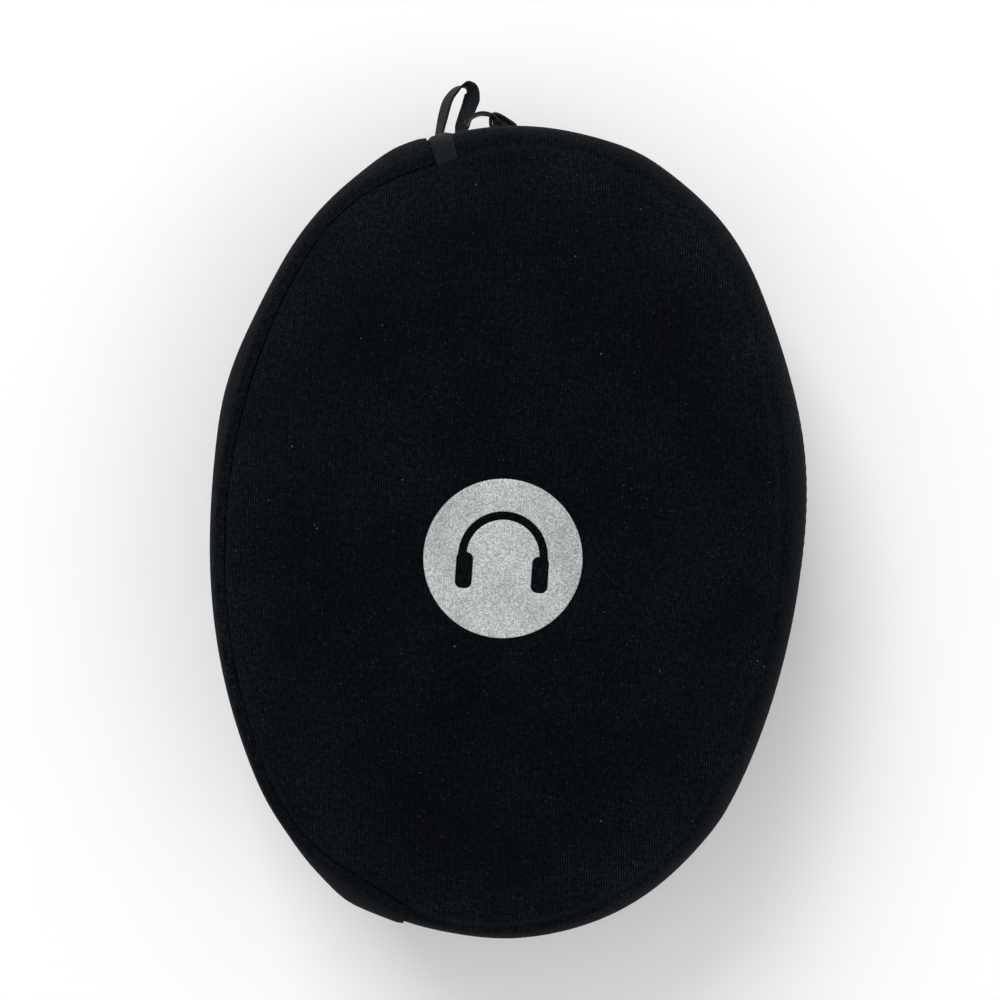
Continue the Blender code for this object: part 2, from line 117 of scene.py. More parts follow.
# Layers inside a half, as (outer, inner) lift off the cover's skin
FOAM_LIFTS = (-1.3 * MM, -4.3 * MM)
LINING_LIFTS = (-4.55 * MM, -5.4 * MM)
LINING_INSET = 0.4 * MM
FOAM_COLUMNS = 160
LINING_COLUMNS = 240
LAYER_BEND_RUN = 26 * MM

# Sections round the rim, as low and high depth, low and high height, and corner radius
TAPE_SECTION = (1.3 * MM, 1.9 * MM, 0.45 * MM, 8.0 * MM, 0.2 * MM)
BINDING_SECTION = (2.2 * MM, 5.9 * MM, 2.6 * MM, 10.5 * MM, 1.2 * MM)
COIL_DEPTH = 0.5 * MM
COIL_HEIGHTS = (0.12 * MM, 2.4 * MM)
COIL_FLATNESS = 0.24 * MM
COIL_STEPS = 12
HINGE_LINING_REACH = 10.2 * MM
HINGE_LINING_DEPTH = 5.4 * MM
SHOULDER_TURN = math.radians(75)


# Sizes and colours that a user would change

def length_property(name, description, default):
    """A length in metres."""
    return FloatProperty(name=name, description=description, default=default, unit="LENGTH")


class CaseShape(bpy.types.PropertyGroup):
    """Shape of the moulded halves and of what is sewn to them."""

    wall_height: length_property("Wall height", "Height of the straight wall over the zip line", 16 * MM)
    wall_draft: length_property("Wall draft", "How far the wall leans in over its height", 0.8 * MM)
    shoulder_radius: length_property("Shoulder radius", "Radius of the bend from wall to face", 9 * MM)
    groove_depth: length_property("Groove depth", "Depth of the moulded crease round the lid", 0.6 * MM)
    ridge_height: length_property("Ridge height", "Height of the soft ridge inside the crease", 0.42 * MM)
    cover_thickness: length_property("Cover thickness", "Thickness of the laminated knit", 1.0 * MM)
    spine_thickness: length_property("Spine thickness", "How far the spine panel stands off", 0.9 * MM)
    knit_pitch: length_property("Knit pitch", "Distance between two wales of the knit", 0.56 * MM)
    columns: IntProperty(
        name="Columns", description="Columns of mesh round the rim of a cover", default=480, min=48)


class ZipShape(bpy.types.PropertyGroup):
    """Shape of the zip and its slider."""

    coil_pitch: length_property("Coil pitch", "Distance between two teeth of one coil", 1.25 * MM)
    filament: length_property("Filament radius", "Radius of the nylon of a coil", 0.3 * MM)
    stitch_pitch: length_property("Stitch pitch", "Length of one stitch and the gap after it", 2.6 * MM)
    ribbon_width: length_property("Ribbon width", "Width of the hang loop's ribbon", 5.5 * MM)
    ribbon_thickness: length_property("Ribbon thickness", "Thickness of that ribbon", 0.6 * MM)


def colour_property(name, description, default):
    """A colour shown with a swatch."""
    return FloatVectorProperty(
        name=name, description=description, subtype="COLOR", default=default, min=0, max=1)


class CaseColours(bpy.types.PropertyGroup):
    """Colours of the finishes, in linear values."""

    knit: colour_property("Knit", "Yarn of the covers", (0.0028, 0.0042, 0.0058))
    spine: colour_property("Spine", "Yarn of the spine panel", (0.0036, 0.0052, 0.0074))
    lining: colour_property("Lining", "Brushed tricot inside", (0.040, 0.041, 0.044))
    tape: colour_property("Tape", "Woven zip tape", (0.0075, 0.0078, 0.0085))
    ribbon: colour_property("Ribbon", "Woven ribbon of the loop and the tab", (0.0085, 0.0115, 0.0145))
    metal: colour_property("Metal", "Black-coated slider and puller", (0.010, 0.011, 0.013))
    silver: colour_property("Silver", "Printed emblem", (0.42, 0.44, 0.44))


class StageSettings(bpy.types.PropertyGroup):
    """Camera and floor."""

    distance: length_property("Camera distance", "From the camera down to the zip line", 0.52)
    view_width: length_property("View width", "Width that the picture shows at the lid's shoulder", 0.2353)
    tilt: FloatProperty(
        name="Tilt", description="Turn of the camera about the line of sight", default=math.radians(3.8),
        subtype="ANGLE")
    centre_offset: FloatVectorProperty(
        name="Centre offset", description="Middle of the picture from the middle of the case",
        size=2, default=(-1.53 * MM, 7.53 * MM), unit="LENGTH")
    side_step: length_property("Side step", "How far the camera stands towards the zip side", 13 * MM)


def shape():
    """The case's shape settings."""
    return bpy.context.scene.case_shape


def zip_shape():
    """The zip's shape settings."""
    return bpy.context.scene.case_zip


def colours():
    """The colour settings."""
    return bpy.context.scene.case_colours


# Surface mathematics. Angles are directions of the rim's outward normal, depths run inwards from the
# outline, and heights run up from the zip line, all as arrays.

def smooth(value, low, high):
    """0 below low, 1 above high, and 3t^2 - 2t^3 between."""
    share = np.clip((value - low) / (high - low), 0, 1)
    return share * share * (3 - 2 * share)


def unit(vectors):
    """Rows scaled to length 1."""
    return vectors / np.linalg.norm(vectors, axis=1, keepdims=True)


def run_of(path):
    """Distance from the first point of a path to each of its points, along the path."""
    return np.concatenate([[0], np.cumsum(np.linalg.norm(np.diff(path, axis=0), axis=1))])


def outward(angle):
    """Level unit normals of the rim at these angles."""
    return np.stack([np.cos(angle), np.sin(angle), np.zeros_like(angle)], axis=-1)


def bell(value, centre, width):
    """exp(-((value - centre) / width)^2)."""
    return np.exp(-(((value - centre) / width) ** 2))


def turn_bell(angle, centre_deg, width_deg):
    """A bell round the rim, on the shorter way between two directions."""
    away = (np.degrees(angle) - centre_deg + 180) % 360 - 180
    return np.exp(-((away / width_deg) ** 2))


# Soft lumps of the sewn rim: direction and width in degrees, and height in mm
RIM_LUMPS = (
    (9, 11, 1.5), (40, 16, 0.6), (66, 9, 0.9), (121, 7, 1.0), (168, 8, 1.7), (190, 14, -0.7), (209, 12, -1.9),
    (220, 6, -1.2), (240, 7, 1.4), (264, 9, -1.0), (303, 18, 0.7), (334, 10, 0.9))
CREASE_LIFTS = ((114, 15, 14), (242, 13, 15))


def arcs(angle):
    """Centre and radius of the arc that has this normal: two end arcs joined smoothly by two side arcs."""
    side = (HALF_WIDTH ** 2 + HALF_LENGTH ** 2 - 2 * HALF_LENGTH * END_RADIUS) / (
        2 * (HALF_WIDTH - END_RADIUS))
    reach = math.atan2(END_CENTRE, side - HALF_WIDTH)
    turn = (angle + reach) % math.tau
    right = turn <= 2 * reach
    left = (turn >= math.pi) & (turn <= math.pi + 2 * reach)
    top = (turn > 2 * reach) & (turn < math.pi)
    x = np.where(right, HALF_WIDTH - side, np.where(left, side - HALF_WIDTH, 0.0))
    y = np.where(right | left, 0.0, np.where(top, END_CENTRE, -END_CENTRE))
    radius = np.where(right | left, side, END_RADIUS)
    return x, y, radius


CAP_DEPTH = 40 * MM


def flat_place(angle, depth):
    """Plan position: the offset oval down to CAP_DEPTH, and inside it that oval shrunk to the centre."""
    x, y, radius = arcs(angle)
    kept = radius - np.minimum(depth, CAP_DEPTH)
    share = np.clip((HALF_WIDTH - depth) / (HALF_WIDTH - CAP_DEPTH), 0, 1)
    return (x + kept * np.cos(angle)) * share, (y + kept * np.sin(angle)) * share


def slide_window(angle):
    """1 where the slider runs, round the top end, and 0 elsewhere, with soft ends."""
    turn = np.degrees(angle)
    return smooth(turn, 10, 24) * (1 - smooth(turn, 108, 116))


def place(angle, depth, height, straight=False):
    """World points. Near the rim the lumps of the sewing push the outline in and out, but straight
    pieces keep to the true oval along the slider's way."""
    angle, depth, height = np.broadcast_arrays(angle, depth, height)
    lump = sum(size * MM * turn_bell(angle, at, width) for at, width, size in RIM_LUMPS)
    if straight:
        lump = lump * (1 - slide_window(angle))
    lump = lump * (1 - smooth(depth, 2.4 * MM, 4.4 * MM)) * (1 - smooth(np.abs(height), 13 * MM, 23 * MM))
    x, y = flat_place(angle, depth - lump)
    return np.stack([x, y, MID + height], axis=-1)


def half_profile(top, flat_at):
    """Depth, height and run of a half's skin: leaning wall, quarter-turn shoulder, then a parabola."""
    s = shape()
    turn = np.linspace(0, SHOULDER_TURN, 60)
    arc_x = s.wall_draft + s.shoulder_radius
    shoulder = (arc_x - s.shoulder_radius * np.cos(turn), s.wall_height + s.shoulder_radius * np.sin(turn))
    rise = np.linspace(0, 1, 40)[:-1]
    wall = (s.wall_draft * rise, COVER_EDGE + (s.wall_height - COVER_EDGE) * rise)
    share = np.linspace(0, 1, 120)[1:]
    start_depth, start_height = shoulder[0][-1], shoulder[1][-1]
    face_depth = start_depth + (HALF_WIDTH - start_depth) * share
    bent = np.clip((face_depth - start_depth) / (flat_at - start_depth), 0, 1)
    face = (face_depth, start_height + (top - start_height) * (1 - (1 - bent) ** 2))
    depth = np.concatenate([wall[0], shoulder[0], face[0]])
    height = np.concatenate([wall[1], shoulder[1], face[1]])
    run = np.concatenate([[0], np.cumsum(np.hypot(np.diff(depth), np.diff(height)))])
    return depth, height, run


class Half:
    """One moulded half: its skin's profile, and which way up it is."""

    def __init__(self, top, flat_at, up, body, prefix):
        self.depth, self.height, self.run = half_profile(top, flat_at)
        self.slope_d = np.gradient(self.depth, self.run)
        self.slope_h = np.gradient(self.height, self.run)
        self.length = self.run[-1]
        self.up = up
        self.body = body
        self.prefix = prefix

    def skin(self, angle, run, lift=0.0):
        """Points at a run from the rim along the profile, moved outwards along its normal by lift."""
        angle, run, lift = np.broadcast_arrays(angle, run, lift)
        tangent_d = np.interp(run, self.run, self.slope_d)
        tangent_h = np.interp(run, self.run, self.slope_h)
        depth = np.interp(run, self.run, self.depth) - lift * tangent_h
        height = np.interp(run, self.run, self.height) + lift * tangent_d
        return place(angle, depth, self.up * height)

    def cloth(self, angle, run):
        """Where a point lies in the flat cloth: plan position on the face, unrolled down the wall."""
        edge = self.crease_base()
        edge_depth = np.interp(edge, self.run, self.depth)
        depth = np.where(run < edge, edge_depth - (edge - run), np.interp(run, self.run, self.depth))
        x, y = flat_place(angle, depth)
        return np.stack([x, y], axis=-1)

    def crease_base(self):
        """Run at which the shoulder's bend ends."""
        s = shape()
        return s.wall_height - COVER_EDGE + s.shoulder_radius * SHOULDER_TURN

    def crease(self, angle):
        """Run at which the crease lies: lower on the spine side, higher by both ends of the zip."""
        s = shape()
        turn = 58 + 7 * np.cos(angle - math.radians(40))
        turn = turn + sum(lift * turn_bell(angle, at, width) for at, width, lift in CREASE_LIFTS)
        return s.wall_height - COVER_EDGE + s.shoulder_radius * np.radians(turn)


def zip_side(angle):
    """1 on the zip's side of the rim and 0 on the spine's, with a short change between."""
    turn = angle % math.tau
    return 1 - smooth(turn, SPINE_TOP - 0.02, SPINE_TOP + 0.03) * (
        1 - smooth(turn, SPINE_BOTTOM - 0.03, SPINE_BOTTOM + 0.02))


def relief(half, angle, run):
    """Relief of a cover: a broad crease and a ridge on the zip side, a narrow seam under the spine's edge."""
    s = shape()
    crease = half.crease(angle)
    side = zip_side(angle)
    groove = -s.groove_depth * bell(run, crease, 1.15 * MM) * side
    ridge = s.ridge_height * bell(run, crease + 2.7 * MM, 1.7 * MM) * (0.35 + 0.65 * side)
    seam = -0.5 * MM * bell(run, crease + 0.25 * MM, 0.5 * MM) * (1 - side)
    puckers = 0.05 * MM * np.sin(angle * 61 + 2 * np.sin(angle * 7)) * bell(run, crease, 3.5 * MM)
    hem = 0.18 * MM * bell(run, 1.6 * MM, 1.2 * MM)
    face = smooth(run, crease + 4 * MM, crease + 16 * MM)
    waves = 0.16 * MM * np.sin(3 * angle + 1.1) * np.sin(run / (11 * MM)) * face
    waves = waves * (1 - smooth(run, 0.038, 0.050))
    soft = 0.10 * MM * np.sin(5 * angle - run / (6 * MM)) * (1 - side * 0.4) * (1 - face)
    return groove + ridge + seam + puckers + hem + waves + soft


# Meshes

def grid_faces(index):
    """Quads of a grid of vertex numbers, with triangles where two corners are one pole."""
    a, b, c, d = index[:-1, :-1], index[:-1, 1:], index[1:, 1:], index[1:, :-1]
    quads = np.stack([a, b, c, d], axis=-1).reshape(-1, 4)
    first = quads[:, 0] == quads[:, 1]
    last = quads[:, 2] == quads[:, 3]
    return quads, first, last


def signed_volume(points, faces):
    """Six times the volume inside the faces, each taken as a fan from its first corner."""
    total = 0.0
    for size in (3, 4):
        chosen = np.array([f for f in faces if len(f) == size], int).reshape(-1, size)
        for k in range(1, size - 1):
            a, b, c = points[chosen[:, 0]], points[chosen[:, k]], points[chosen[:, k + 1]]
            total += np.einsum("ij,ij->", a, np.cross(b, c))
    return total


def closed_surface(points, cloth=None, wrap_columns=False, poles=False, caps=False):
    """(points, faces, face corners' cloth places) of a grid that is closed by wrapping, poles or caps."""
    rows, columns = points.shape[:2]
    index = np.arange(rows * columns).reshape(rows, columns)
    if poles:
        index[0] = index[0, 0]
        index[-1] = index[-1, 0]
    if cloth is None:
        cloth = np.zeros((rows + 1, columns + 1, 2))
    extended = index
    if wrap_columns:
        extended = np.concatenate([extended, extended[:, :1]], axis=1)
    map_rows, map_columns = extended.shape
    cloth = cloth[:map_rows, :map_columns]
    quads, first, last = grid_faces(extended)
    numbers = np.arange(map_rows * map_columns).reshape(map_rows, map_columns)
    corners, _, _ = grid_faces(numbers)
    flat = cloth.reshape(-1, 2)
    plain = ~(first | last)
    faces = quads[plain].tolist()
    places = [flat[corners[plain]].reshape(-1, 2)]
    for mask, kept in ((first, [0, 2, 3]), (last, [0, 1, 2])):
        if mask.any():
            faces += quads[mask][:, kept].tolist()
            places.append(flat[corners[mask][:, kept]].reshape(-1, 2))
    if caps:
        for row, step in ((0, -1), (-1, 1)):
            faces += [[int(extended[row, 0]), *r] for r in cap_pairs(extended[row], step)]
            places.append(np.concatenate([
                flat[[numbers[row, 0], *r]] for r in cap_pairs(numbers[row], step)]))
    used, inverse = np.unique(np.concatenate([np.array(f) for f in faces]), return_inverse=True)
    flat_points = points.reshape(-1, 3)[used]
    sizes = np.array([len(f) for f in faces])
    starts = np.cumsum(sizes) - sizes
    numbered = [inverse[a:a + n].tolist() for a, n in zip(starts.tolist(), sizes.tolist())]
    return flat_points, numbered, np.concatenate(places)


def cap_pairs(ring, step):
    """Neighbouring corners of a ring after its first, for a fan of triangles over a strip's end."""
    inner = [int(n) for n in ring[1:-1]]
    pairs = list(zip(inner[:-1], inner[1:]))
    return [pair[::step] for pair in pairs]


def make_object(name, parts, finish, smooth_angle=None):
    """One mesh object from one or more closed surfaces, with its cloth places as a UV map."""
    points, faces, places, start = [], [], [], 0
    for part_points, part_faces, part_places in parts:
        if signed_volume(part_points, part_faces) < 0:
            sizes = [len(f) for f in part_faces]
            starts = np.cumsum(sizes) - sizes
            order = np.concatenate([np.arange(a + n - 1, a - 1, -1) for a, n in zip(starts, sizes)])
            part_faces = [f[::-1] for f in part_faces]
            part_places = part_places[order]
        faces += [[n + start for n in f] for f in part_faces]
        points.append(part_points)
        places.append(part_places)
        start += len(part_points)
    mesh = bpy.data.meshes.new(name)
    mesh.from_pydata(np.concatenate(points).tolist(), [], faces)
    layer = mesh.uv_layers.new(name="cloth")
    layer.data.foreach_set("uv", np.concatenate(places).astype(np.float32).ravel())
    mesh.materials.append(finish)
    mesh.shade_smooth()
    if smooth_angle is not None:
        mesh.set_sharp_from_angle(angle=math.radians(smooth_angle))
    mesh.update()
    made = bpy.data.objects.new(name, mesh)
    bpy.context.scene.collection.objects.link(made)
    return made


def strip_surface(angles, depth, height):
    """A closed section of depths and heights carried round the rim, in line with the zip."""
    points = place(angles[:, None], depth, height, straight=True)
    steps = np.linalg.norm(np.diff(points[:, :1], axis=0), axis=-1)
    along = np.concatenate([[[0]], np.cumsum(steps, axis=0)])
    closed = np.concatenate([points, points[:, :1]], axis=1)
    across = np.cumsum(np.linalg.norm(np.diff(closed, axis=1), axis=-1), axis=1)
    across = np.concatenate([np.zeros((len(angles), 1)), across], axis=1)
    cloth = np.stack(np.broadcast_arrays(along, across), axis=-1)
    return closed_surface(points, cloth, wrap_columns=True, caps=True)


def rounded_box_section(low_d, high_d, low_h, high_h, radius, steps=3):
    """A rectangle of depths and heights with rounded corners, as two arrays."""
    depths, heights = [], []
    corners = (
        (high_d - radius, high_h - radius, 0), (low_d + radius, high_h - radius, 1),
        (low_d + radius, low_h + radius, 2), (high_d - radius, low_h + radius, 3))
    for depth, height, quarter in corners:
        turn = math.pi / 2 * (quarter + np.linspace(0, 1, steps + 1))
        depths.append(depth + radius * np.cos(turn))
        heights.append(height + radius * np.sin(turn))
    return np.concatenate(depths), np.concatenate(heights)


def sweep(path, first, second, section):
    """Points of a closed section (pairs of shares of first and second) carried along a path."""
    section = np.asarray(section)
    return path[:, None] + section[None, :, :1] * first[:, None] + section[None, :, 1:] * second[:, None]


def superellipse(half_x, half_y, power, count):
    """A closed outline |x/a|^p + |y/b|^p = 1."""
    turn = np.linspace(0, math.tau, count, endpoint=False)
    c, s = np.cos(turn), np.sin(turn)
    shrink = (np.abs(c) ** power + np.abs(s) ** power) ** (-1 / power)
    return np.stack([half_x * c * shrink, half_y * s * shrink], axis=-1)


def rounded_slab(centre, half, plan_power, edge_power, count=40, levels=12, taper=0.0):
    """A closed slab: superellipse plan in the first and third directions, superellipse edge in height."""
    plan = superellipse(1, 1, plan_power, count)
    turn = np.linspace(-math.pi / 2, math.pi / 2, levels)
    c, s = np.cos(turn), np.sin(turn)
    shrink = (np.abs(c) ** edge_power + np.abs(s) ** edge_power) ** (-1 / edge_power)
    wide, tall = c * shrink, s * shrink
    narrow = 1 - taper * (plan[None, :, 0] * wide[:, None] + 1) / 2
    x = centre[0] + half[0] * wide[:, None] * plan[None, :, 0]
    z = centre[2] + half[2] * wide[:, None] * plan[None, :, 1] * narrow
    y = centre[1] + half[1] * np.broadcast_to(tall[:, None], x.shape)
    return np.stack([x, y, z], axis=-1)


def curve_through(points, count):
    """A smooth path through points: a Catmull-Rom curve, evenly spaced in its parameter."""
    points = np.asarray(points, float)
    padded = np.concatenate([2 * points[:1] - points[1:2], points, 2 * points[-1:] - points[-2:-1]])
    spot = np.linspace(0, len(points) - 1 - 1e-9, count)
    k = spot.astype(int)
    t = (spot - k)[:, None]
    a, b, c, d = padded[k], padded[k + 1], padded[k + 2], padded[k + 3]
    return 0.5 * (
        2 * b + (c - a) * t + (2 * a - 5 * b + 4 * c - d) * t ** 2 + (3 * b - a - 3 * c + d) * t ** 3)


# Materials

class Shader:
    """A material under construction, with short ways to add nodes."""

    def __init__(self, name):
        self.material = bpy.data.materials.new(name)
        self.material.use_nodes = True
        self.tree = self.material.node_tree
        self.tree.nodes.clear()
        self.output = self.add("ShaderNodeOutputMaterial")
        self.surface = self.add("ShaderNodeBsdfPrincipled")
        self.link(self.surface.outputs["BSDF"], self.output.inputs["Surface"])

    def add(self, kind, **settings):
        """A new node with its settings."""
        node = self.tree.nodes.new(kind)
        for key, value in settings.items():
            setattr(node, key, value)
        return node

    def link(self, a, b):
        """Joins an output to an input."""
        self.tree.links.new(a, b)

    def fill(self, socket, value):
        """Links a socket or sets a constant."""
        if isinstance(value, bpy.types.NodeSocket):
            self.link(value, socket)
        else:
            socket.default_value = value

    def set(self, **values):
        """Sets or links inputs of the Principled shader, named with underscores."""
        for key, value in values.items():
            self.fill(self.surface.inputs[key.replace("_", " ")], value)

    def math(self, operation, a, b=0.0, c=0.0):
        """One arithmetic step on sockets or numbers."""
        node = self.add("ShaderNodeMath", operation=operation)
        for socket, value in zip(node.inputs, (a, b, c)):
            self.fill(socket, value)
        return node.outputs[0]

    def cloth(self):
        """The piece's own UV map, in metres."""
        return self.add("ShaderNodeUVMap", uv_map="cloth").outputs["UV"]

    def solid(self):
        """The piece's Object coordinates, in metres."""
        return self.add("ShaderNodeTexCoord").outputs["Object"]

    def split(self, vector):
        """A vector's X, Y and Z."""
        node = self.add("ShaderNodeSeparateXYZ")
        self.link(vector, node.inputs[0])
        return node.outputs

    def scaled(self, vector, scale, turn=0.0):
        """The vector scaled, then turned about Z."""
        node = self.add("ShaderNodeMapping")
        self.link(vector, node.inputs["Vector"])
        node.inputs["Scale"].default_value = scale
        node.inputs["Rotation"].default_value = (0, 0, turn)
        return node.outputs[0]

    def noise(self, vector, scale, detail=2.0, roughness=0.5):
        """Fractal noise, about 0 to 1."""
        node = self.add("ShaderNodeTexNoise")
        self.link(vector, node.inputs["Vector"])
        node.inputs["Scale"].default_value = scale
        node.inputs["Detail"].default_value = detail
        node.inputs["Roughness"].default_value = roughness
        return node.outputs["Fac"]

    def drift(self, vector, scale, reach):
        """The vector pushed about by a noise."""
        noise = self.add("ShaderNodeTexNoise")
        self.link(vector, noise.inputs["Vector"])
        noise.inputs["Scale"].default_value = scale
        push = self.add("ShaderNodeVectorMath", operation="MULTIPLY_ADD")
        self.link(noise.outputs["Color"], push.inputs[0])
        push.inputs[1].default_value = (reach, reach, 0)
        self.link(vector, push.inputs[2])
        return push.outputs[0]

    def cells(self, vector, scale):
        """Distance to the nearest random point, and that point's random colour."""
        node = self.add("ShaderNodeTexVoronoi")
        self.link(vector, node.inputs["Vector"])
        node.inputs["Scale"].default_value = scale
        return node.outputs["Distance"], node.outputs["Color"]

    def ramp(self, value, low, high, to_low=0.0, to_high=1.0):
        """Smooth step of a value from one range to another."""
        node = self.add("ShaderNodeMapRange", interpolation_type="SMOOTHSTEP")
        self.fill(node.inputs["Value"], value)
        for key, number in zip(("From Min", "From Max", "To Min", "To Max"), (low, high, to_low, to_high)):
            self.fill(node.inputs[key], number)
        return node.outputs[0]

    def mix(self, share, a, b):
        """Colour between a and b."""
        node = self.add("ShaderNodeMix", data_type="RGBA")
        self.fill(node.inputs[0], share)
        self.fill(node.inputs[6], (*a, 1) if isinstance(a, tuple) else a)
        self.fill(node.inputs[7], (*b, 1) if isinstance(b, tuple) else b)
        return node.outputs[2]

    def bump(self, height, distance, strength=1.0, before=None):
        """A normal bent by a height, on top of an earlier bump."""
        node = self.add("ShaderNodeBump")
        node.inputs["Strength"].default_value = strength
        node.inputs["Distance"].default_value = distance
        self.fill(node.inputs["Height"], height)
        if before is not None:
            self.link(before, node.inputs["Normal"])
        return node.outputs[0]


def tint(colour, factor):
    """A colour scaled by a factor, as a tuple."""
    return tuple(min(1.0, c * factor) for c in colour)


def knit_height(shader, vector, pitch, rows=0.92):
    """Height of plain knit: ridges of wales, each a chain of V-shaped loops."""
    x, y, _ = shader.split(vector)
    wale = shader.math("DIVIDE", x, pitch)
    share = shader.math("FRACT", wale)
    from_middle = shader.math("ABSOLUTE", shader.math("SUBTRACT", share, 0.5))
    ridge = shader.math("COSINE", shader.math("MULTIPLY", from_middle, math.tau))
    ridge = shader.math("MULTIPLY_ADD", ridge, 0.5, 0.5)
    course = shader.math("DIVIDE", y, pitch * rows)
    course = shader.math("MULTIPLY_ADD", from_middle, 1.1, course)
    loop = shader.math("SINE", shader.math("MULTIPLY", course, math.tau))
    loop = shader.math("MULTIPLY_ADD", loop, 0.5, 0.5)
    return shader.math("MULTIPLY", ridge, shader.math("MULTIPLY_ADD", loop, 0.55, 0.45))


def knit_material(name, colour, pitch, lint=1.0, contrast=1.0, painted_shoulder_light=0.0):
    """Fine knit: loops with painted shade between them and painted light on their crowns, uneven yarn, faint
    worn patches, random flecks that are partly painted glints, painted light towards the shoulders and wall
    as much as asked, fuzz at grazing angles, and specks of lint.
    """
    shader = Shader(name)
    cloth = shader.cloth()
    height = knit_height(shader, shader.drift(shader.drift(cloth, 9, 12 * MM), 260, 0.22 * MM), pitch)
    yarn = shader.noise(cloth, 2600, 2)
    worn = shader.noise(cloth, 34, 3, 0.6)
    # Random flecks of tone, partly painted glints of the yarn.
    fleck_and_glint = shader.noise(cloth, 900, 1)
    # Painted shade between the loops and painted light on their crowns, from the loops' height.
    loops = shader.ramp(height, 0.0, 0.9, 1 - 0.85 * contrast, 1 + 0.65 * contrast)
    shade = shader.math("MULTIPLY", loops, shader.ramp(yarn, 0.3, 0.7, 0.25, 1.75))
    shade = shader.math("MULTIPLY", shade, shader.ramp(worn, 0.25, 0.75, 0.65, 1.35))
    # Painted light: the knit's colour is raised towards the shoulders and down the wall, where light grazes
    # the cover, by the factor given as the last argument.
    reach = shader.add("ShaderNodeVectorMath", operation="LENGTH")
    shader.link(shader.scaled(cloth, (1 / HALF_WIDTH, 1 / HALF_LENGTH, 0)), reach.inputs[0])
    shoulder = shader.ramp(reach.outputs["Value"], 0.72, 0.98, 1.0, 1 + painted_shoulder_light)
    shade = shader.math("MULTIPLY", shade, shoulder)
    shade = shader.math("MULTIPLY", shade, shader.ramp(fleck_and_glint, 0.3, 0.7, 0.55, 1.45))
    body = shader.mix(shade, (0, 0, 0), tuple(colour))
    body.node.clamp_factor = False
    distance, random = shader.cells(cloth, 420)
    chosen = shader.math("GREATER_THAN", shader.split(random)[0], 0.955)
    speck = shader.math("MULTIPLY", shader.ramp(distance, 0.05, 0.10, 1.0, 0.0), chosen)
    near_fluff, which = shader.cells(cloth, 900)
    fluff = shader.math("GREATER_THAN", shader.split(which)[1], 0.80)
    fluff = shader.math("MULTIPLY", shader.ramp(near_fluff, 0.10, 0.28, 0.13, 0.0), fluff)
    speck = shader.math("MAXIMUM", speck, fluff)
    threads = shader.noise(shader.scaled(cloth, (1, 0.28, 1), 0.7), 1500, 1)
    hair = shader.ramp(threads, 0.80, 0.84, 0.0, 0.5)
    dust = shader.math("MULTIPLY", shader.math("MAXIMUM", speck, hair), 0.55 * lint)
    shader.set(
        Base_Color=shader.mix(dust, body, (0.16, 0.17, 0.17)), Roughness=0.7, Specular_IOR_Level=0.03,
        Sheen_Weight=0.008, Sheen_Roughness=0.35, Sheen_Tint=(0.62, 0.76, 0.88, 1.0))
    normal = shader.bump(height, 0.16 * MM, 0.9)
    shader.set(Normal=shader.bump(yarn, 0.05 * MM, 0.5, normal))
    return shader.material


def tricot_material():
    """Brushed tricot lining: fine ribs, with painted shade in their grooves, under a soft, blotchy nap."""
    shader = Shader("brushed_tricot")
    cloth = shader.cloth()
    x, y, _ = shader.split(cloth)
    rib = shader.math("SINE", shader.math("MULTIPLY", x, math.tau / (0.9 * MM)))
    rib = shader.math("MULTIPLY_ADD", rib, 0.5, 0.5)
    nap = shader.noise(shader.scaled(cloth, (1, 0.35, 1)), 1300, 3, 0.7)
    blotch = shader.noise(cloth, 60, 4, 0.6)
    colour = tuple(colours().lining)
    shade = shader.math(
        "MULTIPLY", shader.ramp(nap, 0.25, 0.75, 0.65, 1.3), shader.ramp(blotch, 0.3, 0.7, 0.85, 1.15))
    # Painted shade in the grooves between the ribs.
    shade = shader.math("MULTIPLY", shade, shader.ramp(rib, 0, 1, 0.85, 1.1))
    body = shader.mix(shade, (0, 0, 0), colour)
    body.node.clamp_factor = False
    shader.set(
        Base_Color=body, Roughness=0.95, Specular_IOR_Level=0.1, Sheen_Weight=0.04, Sheen_Roughness=0.6)
    normal = shader.bump(rib, 0.10 * MM, 0.6)
    shader.set(Normal=shader.bump(nap, 0.12 * MM, 0.6, normal))
    return shader.material


def woven_material(name, colour, along_pitch, across_pitch, twill=0.0, roughness=0.75):
    """Plain or twill weave: warp and weft bumps in a checker, with painted shade where a yarn dips under and
    painted light where it crosses over, with uneven yarns.
    """
    shader = Shader(name)
    cloth = shader.cloth()
    x, y, _ = shader.split(shader.drift(cloth, 420, 0.5 * MM))
    warp = shader.math("MULTIPLY", x, math.tau / along_pitch)
    weft = shader.math("MULTIPLY_ADD", y, math.tau / across_pitch, shader.math("MULTIPLY", warp, twill))
    over = shader.math("MULTIPLY", shader.math("SINE", warp), shader.math("SINE", weft))
    yarn = shader.noise(shader.scaled(cloth, (1, 3, 1)), 1800, 2)
    height = shader.math("MULTIPLY_ADD", over, 0.5, 0.5)
    # Painted shade where a yarn dips under and painted light where it crosses over, from the weave's height.
    shade = shader.math(
        "MULTIPLY", shader.ramp(height, 0.0, 1.0, 0.3, 1.7), shader.ramp(yarn, 0.3, 0.7, 0.5, 1.5))
    body = shader.mix(shade, (0, 0, 0), tuple(colour))
    body.node.clamp_factor = False
    shader.set(
        Base_Color=body, Roughness=roughness, Specular_IOR_Level=0.08, Sheen_Weight=0.01,
        Sheen_Roughness=0.4)
    normal = shader.bump(height, 0.14 * MM, 0.9)
    shader.set(Normal=shader.bump(yarn, 0.04 * MM, 0.5, normal))
    return shader.material


